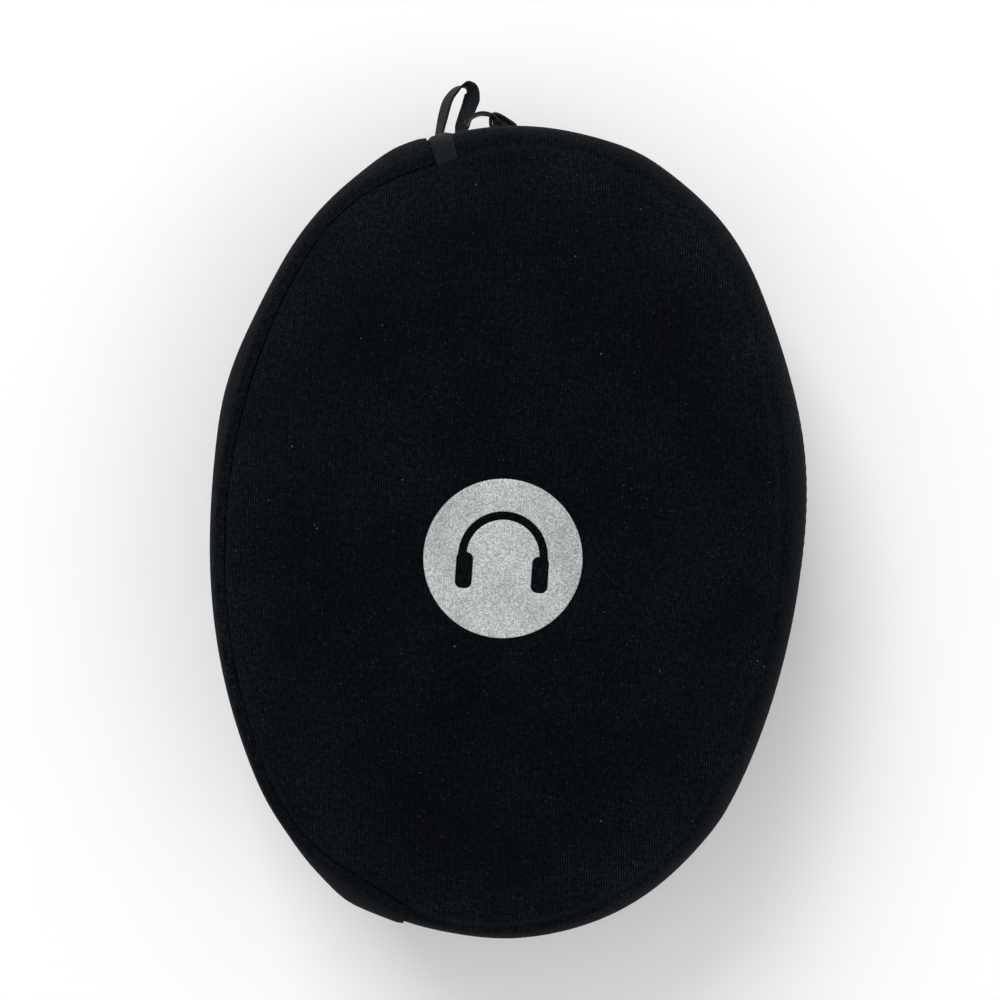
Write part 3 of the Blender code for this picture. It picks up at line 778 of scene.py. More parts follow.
def foam_material():
    """Closed-cell foam: small pores, painted darker as painted shade inside them, in a matt charcoal skin."""
    shader = Shader("closed_cell_foam")
    solid = shader.solid()
    distance, _ = shader.cells(solid, 1500)
    cloud = shader.noise(solid, 120, 3)
    # Painted shade: the pores are painted darker.
    pore = shader.ramp(distance, 0.1, 0.5, 0.0, 1.0)
    shade = shader.math("MULTIPLY", pore, shader.ramp(cloud, 0.2, 0.8, 0.7, 1.2))
    body = shader.mix(shade, (0.008, 0.008, 0.009), (0.035, 0.035, 0.038))
    shader.set(Base_Color=body, Roughness=0.92, Normal=shader.bump(pore, 0.08 * MM, 0.7))
    return shader.material


def nylon_material():
    """Coil filament: satin nylon with faint streaks and worn crowns."""
    shader = Shader("coil_nylon")
    solid = shader.solid()
    streak = shader.noise(solid, 700, 3, 0.6)
    rub = shader.noise(solid, 90, 3)
    body = shader.mix(shader.ramp(rub, 0.35, 0.7), (0.004, 0.004, 0.005), (0.011, 0.011, 0.013))
    shader.set(Base_Color=body, Roughness=shader.ramp(streak, 0.2, 0.8, 0.30, 0.55), Specular_IOR_Level=0.14)
    shader.set(Normal=shader.bump(streak, 0.02 * MM, 0.5))
    return shader.material


def metal_material():
    """Black-coated die-cast metal: fine orange peel, hairline scratches and brighter worn spots."""
    shader = Shader("black_coated_metal")
    solid = shader.solid()
    peel = shader.noise(solid, 2200, 3)
    scratch = shader.noise(shader.scaled(solid, (1, 1, 0.06), 0.4), 5200, 2, 0.7)
    rub = shader.noise(solid, 420, 4, 0.65)
    line = shader.ramp(scratch, 0.64, 0.70)
    worn = shader.math("MULTIPLY", shader.ramp(rub, 0.64, 0.76), 0.35)
    share = shader.math("MAXIMUM", worn, shader.math("MULTIPLY", line, 0.2))
    body = shader.mix(share, tuple(colours().metal), (0.30, 0.30, 0.31))
    shader.set(
        Base_Color=body, Metallic=shader.math("MULTIPLY_ADD", share, 0.8, 0.1),
        Roughness=shader.ramp(peel, 0.2, 0.8, 0.34, 0.55), Specular_IOR_Level=0.16)
    shader.set(Normal=shader.bump(peel, 0.015 * MM, 0.6))
    return shader.material


def silver_material(pitch):
    """Printed silver transfer: metal flake over the knit that shows through it, with painted shade in the
    knit's valleys.
    """
    shader = Shader("printed_silver")
    solid = shader.solid()
    _, random = shader.cells(solid, 3800)
    flake = shader.split(random)[0]
    broad = shader.noise(solid, 55, 2, 0.5)
    cloud = shader.noise(solid, 300, 4, 0.65)
    grain = shader.noise(solid, 2400, 2, 0.6)
    height = knit_height(shader, solid, pitch)
    shade = shader.math(
        "MULTIPLY", shader.ramp(flake, 0, 1, 0.70, 1.30), shader.ramp(cloud, 0.25, 0.75, 0.93, 1.07))
    shade = shader.math("MULTIPLY", shade, shader.ramp(broad, 0.3, 0.7, 0.84, 1.18))
    shade = shader.math("MULTIPLY", shade, shader.ramp(grain, 0.3, 0.7, 0.82, 1.16))
    # Painted shade in the valleys of the knit under the print.
    shade = shader.math("MULTIPLY", shade, shader.ramp(height, 0, 1, 0.90, 1.05))
    body = shader.mix(shade, (0, 0, 0), tuple(colours().silver))
    body.node.clamp_factor = False
    shader.set(Base_Color=body, Metallic=0.25, Roughness=shader.ramp(flake, 0, 1, 0.42, 0.6))
    normal = shader.bump(height, 0.05 * MM, 0.6)
    shader.set(Normal=shader.bump(flake, 0.012 * MM, 0.6, normal))
    return shader.material


def thread_material():
    """Sewing thread: two plies twisted together, with painted shade in the groove between them and painted
    light on their crowns.
    """
    shader = Shader("sewing_thread")
    x, y, _ = shader.split(shader.cloth())
    ply = shader.math("MULTIPLY_ADD", x, math.tau / (0.35 * MM), shader.math("MULTIPLY", y, math.tau * 2))
    ply = shader.math("MULTIPLY_ADD", shader.math("SINE", ply), 0.5, 0.5)
    # Painted shade in the groove between the plies, painted light on their crowns.
    body = shader.mix(ply, (0.004, 0.004, 0.005), (0.014, 0.016, 0.018))
    shader.set(
        Base_Color=body, Roughness=0.6, Specular_IOR_Level=0.1, Normal=shader.bump(ply, 0.05 * MM, 0.8))
    return shader.material


def finish(name):
    """Materials, each made once."""
    made = bpy.data.materials.get(name)
    if made:
        return made
    c = colours()
    pitch = shape().knit_pitch
    makers = {
        "cover_knit": lambda: knit_material("cover_knit", c.knit, pitch, painted_shoulder_light=0.6),
        "panel_knit": lambda: knit_material("panel_knit", c.spine, pitch, 0.8, 0.6),
        "brushed_tricot": tricot_material,
        "closed_cell_foam": foam_material,
        "zip_tape_weave": lambda: woven_material("zip_tape_weave", c.tape, 0.7 * MM, 0.42 * MM, 0.5),
        "binding_grosgrain": lambda: woven_material(
            "binding_grosgrain", c.tape, 0.55 * MM, 2.4 * MM, 0.0, 0.7),
        "ribbon_weave": lambda: woven_material("ribbon_weave", c.ribbon, 1.0 * MM, 0.72 * MM, 0.3, 0.62),
        "tab_weave": lambda: woven_material(
            "tab_weave", tint(c.ribbon, 0.62), 1.15 * MM, 0.95 * MM, 0.0, 0.7),
        "coil_nylon": nylon_material,
        "black_coated_metal": metal_material,
        "printed_silver": lambda: silver_material(pitch),
        "sewing_thread": thread_material,
    }
    return makers[name]()


# Pieces

def lid_half():
    """The upper half, whose face is domed as far as the middle."""
    return Half(LID_TOP, 60 * MM, 1, "lid", "lid")


def base_half():
    """The lower half, upside down, with a flat underside to rest on."""
    return Half(BASE_BOTTOM, 30 * MM, -1, "base", "base")


def put(piece, node, body):
    """Stands a piece in for a solid, and hangs it on the body it moves with."""
    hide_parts(node)
    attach(piece, body)


def layer_object(half, name, runs, outer, inner, edge_run, columns, dress, finish_name):
    """A layer of a half: outer skin from the middle to the rim, a rolled edge, and the inner skin back."""
    angle = np.linspace(0, math.tau, columns + 1)[None, :]
    outside_run = runs[::-1][:, None]
    middle = (outer + inner) / 2
    thick = outer - inner
    roll = np.linspace(0, math.pi, 7)[1:-1][:, None]
    inside_run = runs[::3][:, None]
    if runs[-1] != inside_run[-1, 0]:
        inside_run = np.concatenate([inside_run, runs[-1:, None]])
    run = np.concatenate([outside_run, edge_run - np.sin(roll) * thick / 2, inside_run])
    lift = np.concatenate([
        np.full_like(outside_run, outer), middle + np.cos(roll) * thick / 2, np.full_like(inside_run, inner)])
    lift = np.broadcast_to(lift, (len(run), columns + 1)).copy()
    if dress is not None:
        lift[:len(runs)] += dress(half, angle, outside_run)
    below = np.minimum(run, 0)
    points = half.skin(angle, run, lift)
    points[..., 2] += half.up * below
    cloth = half.cloth(angle, run)
    parts = closed_surface(points[:, :-1], cloth, wrap_columns=True, poles=True)
    made = make_object(name, [parts], finish(finish_name))
    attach(made, half.body)
    return made


def cover_runs(half, edge):
    """Runs of the rows of a cover: close together over the shoulder and its crease."""
    end = half.length
    return np.concatenate([
        np.linspace(edge, 10 * MM, 18, endpoint=False), np.linspace(10 * MM, 31 * MM, 62, endpoint=False),
        np.linspace(31 * MM, end, 26)])


def layer_runs(half, start, wall, face):
    """Runs of a hidden layer's rows: a number down the wall and bend, then a number over the face."""
    return np.concatenate([
        np.linspace(start, LAYER_BEND_RUN, wall, endpoint=False),
        np.linspace(LAYER_BEND_RUN, half.length, face)])


def flat_area(half):
    """(width, length, area) of the flat cloth of a half, an oval that reaches down to the rim."""
    reach = np.interp(half.crease_base(), half.run, half.depth)
    grown = half.crease_base() - reach
    width, length = 2 * (HALF_WIDTH + grown), 2 * (HALF_LENGTH + grown)
    return width, length, math.pi / 4 * width * length


def build_layers(half):
    """Knitted cover, foam shell and lining of one half."""
    s = shape()
    columns = s.columns
    width, length, area = flat_area(half)
    cover = layer_object(
        half, f"{half.prefix}_knit_cover", cover_runs(half, 0.0), 0.0, -s.cover_thickness, 0.0, columns,
        relief, "cover_knit")
    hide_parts(f"{half.prefix}_cover")
    start = FOAM_EDGE - COVER_EDGE
    runs = layer_runs(half, start, 24, 14)
    foam = layer_object(
        half, f"{half.prefix}_moulded_foam", runs, *FOAM_LIFTS, start, FOAM_COLUMNS, None,
        "closed_cell_foam")
    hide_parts(f"{half.prefix}_foam_shell")
    start = FOAM_EDGE - COVER_EDGE + LINING_INSET
    runs = layer_runs(half, start, 40, 22)
    lining = layer_object(
        half, f"{half.prefix}_tricot_lining", runs, *LINING_LIFTS, start, LINING_COLUMNS,
        lining_relief, "brushed_tricot")
    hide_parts(f"{half.prefix}_lining")


def lining_relief(half, angle, run):
    """Small soft wrinkles of the lining on the bend."""
    return 0.06 * MM * np.sin(angle * 23 + np.sin(angle * 5)) * bell(run, 17 * MM, 6 * MM)


def zip_angles(count):
    """Directions along the tape, from its bottom end to the tab."""
    return np.linspace(TAPE_BOTTOM, TAB_END, count)


def build_tape(half):
    """Woven tape between the coil and the cover."""
    up = half.up
    depth, height = rounded_box_section(*TAPE_SECTION, 2)
    tape = make_object(f"{half.prefix}_woven_tape", [
        strip_surface(zip_angles(420), depth, up * height)], finish("zip_tape_weave"))
    put(tape, f"{half.prefix}_zip_tape", half.body)


def build_coil(half):
    """Nylon filament wound as a flattened helix along the tape's edge, the halves half a turn apart."""
    z = zip_shape()
    dense = np.linspace(ZIP_BOTTOM, ZIP_TOP, 4000)
    line = place(dense, COIL_DEPTH, 0.0, straight=True)
    run = run_of(line)
    turns = int(run[-1] / z.coil_pitch)
    spot = np.linspace(0, 1, turns * COIL_STEPS + 1)
    phase = spot * turns * math.tau + (0 if half.up > 0 else math.pi)
    lead = 0.16 * z.coil_pitch * np.sin(2 * phase)
    angle = np.interp(spot * run[-1] + lead, run, dense)
    low, high = COIL_HEIGHTS
    height = (low + high) / 2 + (high - low) / 2 * np.cos(phase)
    depth = COIL_DEPTH + COIL_FLATNESS * np.sin(phase)
    path = place(angle, depth, half.up * height, straight=True)
    way = unit(np.gradient(path, axis=0))
    out = outward(angle)
    out = unit(out - way * np.sum(out * way, axis=1, keepdims=True))
    side = np.cross(way, out)
    ring = superellipse(z.filament, z.filament * 0.8, 2.0, 6)
    surface = closed_surface(sweep(path, side, out, ring), wrap_columns=True, caps=True)
    coil = make_object(f"{half.prefix}_coil_teeth", [surface], finish("coil_nylon"))
    put(coil, f"{half.prefix}_zip_coil", half.body)


def build_binding(half):
    """Ribbon folded over the raw edges inside the rim."""
    up = half.up
    depth, height = rounded_box_section(*BINDING_SECTION, 5)
    binding = make_object(f"{half.prefix}_edge_binding", [
        strip_surface(zip_angles(300), depth, up * height)], finish("binding_grosgrain"))
    put(binding, f"{half.prefix}_binding", half.body)


def stitch_row(half, first, last, run, lift, radius=0.16 * MM):
    """Stitches along the rim at one run: each a short filament that dips at both ends."""
    z = zip_shape()
    dense = np.linspace(first, last, 2000)
    line = half.skin(dense, run, 0.0)
    along = run_of(line)
    count = int(along[-1] / z.stitch_pitch)
    parts = []
    ring = superellipse(radius, radius, 2.0, 6)
    share = np.linspace(-0.5, 0.5, 6)
    for start in (np.arange(count) + 0.5) * z.stitch_pitch:
        angle = np.interp(start + share * z.stitch_pitch * 0.74, along, dense)
        path = half.skin(angle, run, lift * (1 - (2 * share) ** 4) - 0.10 * MM)
        way = unit(np.gradient(path, axis=0))
        side = unit(np.cross(way, outward(angle)))
        points = sweep(path, side, np.cross(side, way), ring)
        cloth = np.zeros((7, 8, 2))
        cloth[..., 0] = np.arange(7)[:, None] * z.stitch_pitch / 7
        cloth[..., 1] = np.arange(8)[None, :] / 6
        parts.append(closed_surface(points, cloth, wrap_columns=True, caps=True))
    return parts


def build_stitches(half):
    """Top stitching that holds the cover to the tape."""
    parts = stitch_row(half, TAPE_BOTTOM + 0.01, TAB_START - 0.01, 1.9 * MM, 0.30 * MM)
    row = make_object(f"{half.prefix}_edge_stitching", parts, finish("sewing_thread"))
    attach(row, half.body)


def run_along(points):
    """Length of a path through points."""
    return float(np.sum(np.linalg.norm(np.diff(points, axis=0), axis=1)))


def build_spine():
    """Fabric panel from one shoulder to the other round the side without a zip."""
    lid, base = lid_half(), base_half()
    s = shape()
    angle = np.linspace(SPINE_TOP, SPINE_BOTTOM, 300)[:, None]
    count = 46
    share = np.linspace(0, 1, count)[None, :]
    lid_edge = lid.crease(angle) + 0.25 * MM
    base_edge = base.crease(angle) + 0.25 * MM
    ends = smooth(angle, SPINE_TOP, SPINE_TOP + 0.03) * (1 - smooth(angle, SPINE_BOTTOM - 0.03, SPINE_BOTTOM))
    ends = 0.72 + 0.28 * ends

    def lifted(half, edge, run, thick):
        """Off the skin by the panel's thickness, tucked into the seam at its edge."""
        tuck = smooth(edge - run, 0.0, 2.2 * MM)
        waves = 0.10 * MM * np.sin(9 * angle + 2) * bell(run, 8 * MM, 6 * MM)
        return (0.22 * MM + (thick - 0.22 * MM) * tuck - 0.45 * MM * (1 - tuck)) * ends + waves * tuck

    rows = []
    clothes = []
    for half, edge, order in ((base, base_edge, 1), (lid, lid_edge, -1)):
        run = edge * (1 - share) if order == 1 else edge * share
        outer = half.skin(angle, run, lifted(half, edge, run, s.spine_thickness))
        rows.append(outer)
        clothes.append(np.stack(np.broadcast_arrays(
            half.up * (run + COVER_EDGE), angle * 0.075), axis=-1))
    bridge = np.linspace(-1, 1, 12)[None, 1:-1]
    lift = s.spine_thickness * ends + 0.25 * MM * (1 - bridge ** 2)
    middle = place(angle, -lift, bridge * COVER_EDGE)
    middle_cloth = np.stack(np.broadcast_arrays(bridge * COVER_EDGE, angle * 0.075), axis=-1)
    outside = np.concatenate([rows[0], middle, rows[1]], axis=1)
    cloth = np.concatenate([clothes[0], middle_cloth, clothes[1]], axis=1)
    inner_lid_run = lid_edge * np.linspace(0.98, 0, 16)[None, :]
    inner_base_run = base_edge * np.linspace(0, 0.98, 16)[None, :]
    inside = np.concatenate([
        lid.skin(angle, inner_lid_run, -0.35 * MM), place(angle, 0.35 * MM, bridge[:, ::-1] * COVER_EDGE),
        base.skin(angle, inner_base_run, -0.35 * MM)], axis=1)
    points = np.concatenate([outside, inside], axis=1)
    back = np.zeros((*inside.shape[:2], 2))
    back[..., 0] = np.linspace(0, 0.05, inside.shape[1])[None, :]
    back[..., 1] = angle * 0.075
    cloth = np.concatenate([cloth, back, cloth[:, :1]], axis=1)
    spine = make_object("spine_panel", [
        closed_surface(points, cloth, wrap_columns=True, caps=True)], finish("panel_knit"))
    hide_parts("hinge_spine")
    length = run_along(place(angle[:, 0], 0.0, 0.0))
    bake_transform(spine)


def build_hinge_lining():
    """Strip of lining that bridges the two linings inside the spine."""
    angle = np.linspace(SPINE_TOP - 0.01, SPINE_BOTTOM + 0.01, 220)[:, None]
    share = np.linspace(-1, 1, 30)[None, :]
    height = share * HINGE_LINING_REACH
    fold = 0.7 * MM * bell(share, 0, 0.35) + 0.08 * MM * np.sin(31 * angle) * bell(share, 0, 0.8)
    outer = place(angle, 5.15 * MM - 1.9 * MM * bell(share, 0, 0.42), height)
    inner = place(angle, 5.85 * MM - 1.9 * MM * bell(share, 0, 0.42) + fold, height)[:, ::-1]
    points = np.concatenate([outer, inner], axis=1)
    cloth = np.zeros((*points.shape[:2], 2))
    cloth[..., 0] = np.concatenate([height, height[:, ::-1]], axis=1)
    cloth[..., 1] = angle * 0.07
    cloth = np.concatenate([cloth, cloth[:, :1]], axis=1)
    strip = make_object("inner_hinge_lining", [
        closed_surface(points, cloth, wrap_columns=True, caps=True)], finish("brushed_tricot"))
    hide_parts("hinge_lining")
    length = run_along(place(angle[:, 0], HINGE_LINING_DEPTH, 0.0))
    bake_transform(strip)


def build_tab():
    """Woven tab folded over the top end of the zip and sewn to the lid."""
    half = lid_half()
    angle = np.linspace(TAB_START, TAB_END, 28)[:, None]
    end = half.crease(angle) + 1.2 * MM
    share = np.linspace(0, 1, 40)[None, :]
    run = end * share - 3.4 * MM * (1 - share)
    across = (angle - TAB_START) / (TAB_END - TAB_START) * 2 - 1
    crown = (1 - np.abs(across) ** 3.5) * (1 - smooth(share, 0.80, 1.0))
    puff = 0.9 * MM * bell(share, 0.22, 0.2) + 0.25 * MM * np.sin(9 * share + 2.2 * across)
    lift = 0.10 * MM + (0.55 * MM + puff) * crown
    top = half.skin(angle, np.maximum(run, 0), lift)
    top[..., 2] += np.minimum(run, 0)
    bottom_run = np.maximum(run[:, ::-2], 0)
    bottom = half.skin(angle, bottom_run, -0.3 * MM)
    bottom[..., 2] += np.minimum(run[:, ::-2], 0)
    points = np.concatenate([top, bottom], axis=1)
    cloth = np.zeros((*points.shape[:2], 2))
    cloth[..., 0] = np.concatenate([run, bottom_run], axis=1)
    cloth[..., 1] = angle * END_RADIUS
    cloth = np.concatenate([cloth, cloth[:, :1]], axis=1)
    tab = make_object("woven_end_tab", [
        closed_surface(points, cloth, wrap_columns=True, caps=True)], finish("tab_weave"))
    put(tab, "zip_end_tab", "lid")


def build_loop():
    """Flat ribbon bent into a loop: a path through chosen places, the ribbon turned part-way sideways."""
    z = zip_shape()
    low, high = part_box("hang_loop")
    middle = (low.z + high.z) / 2
    left, foot = low.x, low.y
    ways = (
        (-0.45, 0.0), (-0.5, 3.2), (0.1, 7.7), (0.9, 11.7), (2.0, 13.9), (3.6, 15.6), (5.4, 16.2),
        (6.7, 15.2), (6.85, 12.9), (6.3, 10.75), (5.75, 9.0), (5.1, 6.5), (4.85, 4.4), (4.7, 1.3))
    flat = np.array([(left + x * MM, foot + y * MM) for x, y in ways])
    count = 150
    path2 = curve_through(flat, count)
    path = np.column_stack([path2, np.full(count, middle)])
    way = unit(np.gradient(path, axis=0))
    share = np.linspace(0, 1, count)
    lean = np.radians(np.interp(
        share, [0, 0.16, 0.35, 0.5, 0.62, 0.75, 0.86, 1], [14, 28, 32, 30, 50, 46, 42, 16]))
    wide = np.column_stack([np.sin(lean), 0.12 * np.sin(lean), np.cos(lean)])
    wide = unit(wide - way * np.sum(wide * way, axis=1, keepdims=True))
    out = np.cross(way, wide)
    section = superellipse(z.ribbon_width / 2, z.ribbon_thickness / 2, 5.0, 44)
    edge = np.abs(section[:, 0]) / (z.ribbon_width / 2)
    section[:, 1] *= 1 + 0.35 * bell(edge, 0.9, 0.07)
    points = sweep(path, wide, out, section)
    along = run_of(path)
    around = np.concatenate([section, section[:1]])
    across = run_of(around)
    cloth = np.stack(np.meshgrid(along, across, indexing="ij"), axis=-1)
    loop = make_object("ribbon_loop", [
        closed_surface(points, cloth, wrap_columns=True, caps=True)], finish("ribbon_weave"))
    put(loop, "hang_loop", "base")


def at_rim(angle, points):
    """Points drawn with X along the zip, Y out from the rim and Z up, turned into place on a rim's end."""
    turn = angle - math.pi / 2
    c, s = math.cos(turn), math.sin(turn)
    rim = place(np.array(angle), np.array(0.0), np.array(0.0), straight=True)
    x, y, z = points[..., 0], points[..., 1], points[..., 2]
    return np.stack([rim[0] + c * x - s * y, rim[1] + s * x + c * y, rim[2] + z], axis=-1)


def at_slider(points):
    """Points drawn on the rim, put in place at the slider."""
    return at_rim(SLIDER_ANGLE, points)


def node_in_rim(node):
    """(angle, low, high): where a small node lies on its end of the rim, and its box drawn there."""
    data = frame["nodes"][node].data
    points = np.empty(len(data.vertices) * 3, np.float32)
    data.vertices.foreach_get("co", points)
    points = points.reshape(-1, 3).astype(float)
    middle = (points.min(axis=0) + points.max(axis=0)) / 2
    centre = END_CENTRE if middle[1] > 0 else -END_CENTRE
    angle = math.atan2(middle[1] - centre, middle[0])
    turn = angle - math.pi / 2
    c, s = math.cos(turn), math.sin(turn)
    away = points - (END_RADIUS * math.cos(angle), centre + END_RADIUS * math.sin(angle), MID)
    drawn = np.stack([c * away[:, 0] + s * away[:, 1], c * away[:, 1] - s * away[:, 0], away[:, 2]], axis=-1)
    return angle, drawn.min(axis=0), drawn.max(axis=0)


def build_stop(node, name, body):
    """Crimped metal stop: a rounded block with two raised lips across it."""
    angle, low, high = node_in_rim(node)
    middle, half = (low + high) / 2, (high - low) / 2
    count = 48
    x = np.linspace(-1, 1, count)[:, None]
    ring = superellipse(1, 1, 4.0, 28)[None]
    end = (1 - np.abs(x) ** 6) ** (1 / 6)
    lips = 1 + 0.16 * (bell(x, -0.55, 0.22) + bell(x, 0.55, 0.22))
    points = np.stack(np.broadcast_arrays(
        middle[0] + half[0] * x, middle[1] + half[1] * end * lips * ring[..., 0] * 0.92,
        middle[2] + half[2] * end * lips * ring[..., 1] * 0.92), axis=-1)
    stop = make_object(name, [
        closed_surface(at_rim(angle, points), wrap_columns=True, poles=True)],
        finish("black_coated_metal"), 50)
    put(stop, node, body)


def slab_part(centre, half, plan_power=3.5, edge_power=3.5, taper=0.0):
    """One rounded slab of the slider, sizes in mm."""
    points = rounded_slab(np.array(centre) * MM, np.array(half) * MM, plan_power, edge_power, taper=taper)
    return closed_surface(at_slider(points), wrap_columns=True, poles=True)


def build_slider():
    """Die-cast slider: domed outer plate, flange round the base's coil, inner plate."""
    half = (SLIDER_BOX[1] - SLIDER_BOX[0])[0] / 2 / MM - 0.35
    parts = [
        slab_part((0, 0.85, -0.2), (half, 0.55, 3.2), 3.0, 3.0, 0.22),
        slab_part((0, 1.3, -0.2), (half * 0.8, 0.35, 1.5), 3.0, 2.2, 0.3),
        slab_part((0, -0.1, -3.05), (half * 0.9, 0.75, 0.33), 4.0, 4.0),
        slab_part((0, -2.75, 0), (half * 0.95, 0.33, 2.15), 3.0, 4.0, 0.2),
    ]
    body = make_object("slider_plates", parts, finish("black_coated_metal"), 50)
    put(body, "slider_body", "slider")


def arch_part(path, half_wide, half_thick, power=3.0):
    """A bar of rounded section along a path in the slider's XY plane, sizes in mm."""
    path = np.column_stack([np.asarray(path), np.zeros(len(path))]) * MM
    way = unit(np.gradient(path, axis=0))
    up = np.tile([0.0, 0.0, 1.0], (len(path), 1))
    out = np.cross(way, up)
    ring = superellipse(half_wide * MM, half_thick * MM, power, 20)
    return sweep(path, up, out, ring)


def crown_size():
    """(length, height, foot) of the crown in the slider's own drawing, in mm, undoing the turn of its box."""
    low, high = (np.array(c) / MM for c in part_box("slider_bridge"))
    wide, tall = (high - low)[:2]
    turn = SLIDER_ANGLE - math.pi / 2
    c, s = math.cos(turn), math.sin(turn)
    length = (wide * c - tall * s) / (c * c - s * s)
    height = (tall * c - wide * s) / (c * c - s * s)
    away = (low + high) / 2 - place(np.array(SLIDER_ANGLE), np.array(0.0), np.array(0.0)) / MM
    middle = -s * away[0] + c * away[1]
    return length, height, middle - height / 2


def build_bridge():
    """Crown over the slider that the puller hangs from: a bar along a leaning arch, with a web under it."""
    length, height, foot = crown_size()
    shares = np.array([
        (-0.50, -0.10), (-0.53, 0.35), (-0.50, 0.75), (-0.38, 0.93), (-0.18, 0.90), (0.06, 0.72),
        (0.34, 0.44), (0.58, 0.18), (0.70, -0.10)])
    knots = shares * (length, height) + (0, foot)
    path = curve_through(knots, 80)
    bar = closed_surface(at_slider(arch_part(path, 0.95, 0.42)), wrap_columns=True, caps=True)
    x = np.linspace(knots[0, 0] + 0.3, knots[-1, 0] - 0.3, 50)
    order = np.argsort(path[:, 0])
    top = np.interp(x, path[order, 0], path[order, 1])
    ring_y = np.stack([np.full_like(x, foot - 0.4), top, top, np.full_like(x, foot - 0.4)], axis=1)
    ring_z = np.broadcast_to([-0.8, -0.8, -0.4, -0.4], ring_y.shape)
    web = np.stack([np.broadcast_to(x[:, None], ring_y.shape), ring_y, ring_z], axis=-1) * MM
    web = closed_surface(at_slider(web), wrap_columns=True, caps=True)
    bridge = make_object("slider_crown", [bar, web], finish("black_coated_metal"), 50)
    put(bridge, "slider_bridge", "slider")


def puller_start():
    """The puller's axis in the slider's own drawing, in mm."""
    pivot = np.array(JOINTS["puller_swing"]["pos_m"])
    turn = SLIDER_ANGLE - math.pi / 2
    away = pivot - place(np.array(SLIDER_ANGLE), np.array(0.0), np.array(0.0))
    along = math.cos(turn) * away[0] + math.sin(turn) * away[1]
    out = -math.sin(turn) * away[0] + math.cos(turn) * away[1]
    return np.array([along, out]) / MM


PULLER_CURVE = 4.6
PULLER_FIRST = math.radians(30)
PULLER_SPAN = math.radians(125)
PULLER_WINDOW = math.radians(56)


def build_puller():
    """Arched pull tab: a bar under the crown, two rails past it, and a plate that thickens at its tip."""
    start = puller_start()
    first = np.array([math.cos(PULLER_FIRST), math.sin(PULLER_FIRST)])

    def along(turn):
        way = np.column_stack([np.cos(PULLER_FIRST + turn), np.sin(PULLER_FIRST + turn)])
        return start - PULLER_CURVE * first + PULLER_CURVE * way

    rails = arch_part(along(np.linspace(-0.02, PULLER_WINDOW + 0.12, 24)), 0.5, 0.27, 4.0)
    plate = arch_part(along(np.linspace(PULLER_WINDOW, PULLER_SPAN, 40)), 2.25, 0.28, 6.0)
    tip = arch_part(along(np.linspace(PULLER_SPAN - 0.28, PULLER_SPAN, 12)), 2.25, 0.42, 4.0)
    bar_turn = np.linspace(-1, 1, 9)
    bar = np.column_stack([np.tile(start * MM, (9, 1)), bar_turn * 2.2 * MM])
    ring = superellipse(0.38 * MM, 0.38 * MM, 2.0, 16)
    x_way = np.tile([1.0, 0.0, 0.0], (9, 1))
    y_way = np.tile([0.0, 1.0, 0.0], (9, 1))
    parts = [plate, tip, sweep(bar, x_way, y_way, ring)]
    parts += [rails + np.array([0, 0, side * 1.72 * MM]) for side in (-1, 1)]
    surfaces = [closed_surface(at_slider(p), wrap_columns=True, caps=True) for p in parts]
    puller = make_object("pull_tab", surfaces, finish("black_coated_metal"), 50)
    put(puller, "zip_puller", "puller")


def box_distance(x, y, centre, half, radius):
    """Signed distance to a rounded rectangle."""
    dx = np.abs(x - centre[0]) - half[0] + radius
    dy = np.abs(y - centre[1]) - half[1] + radius
    return np.hypot(np.maximum(dx, 0), np.maximum(dy, 0)) + np.minimum(np.maximum(dx, dy), 0) - radius


def pictogram_distance(x, y):
    """Signed distance to a plain headphone pictogram in mm: a band over two ear pads, and two cups."""
    reach = np.hypot(x, y - 0.5)
    band = np.maximum(np.abs(reach - 9.2) - 0.95, -(y - 0.2))
    cups = [box_distance(x, y, (side * 8.6, -3.2), (1.9, 4.1), 1.5) for side in (-1, 1)]
    return np.minimum(band, np.minimum(cups[0], cups[1]))


def emblem_distance(x, y, radius):
    """Signed distance to the silver: inside the disc and outside the pictogram."""
    return np.maximum(np.hypot(x, y) - radius, -pictogram_distance(x, y))


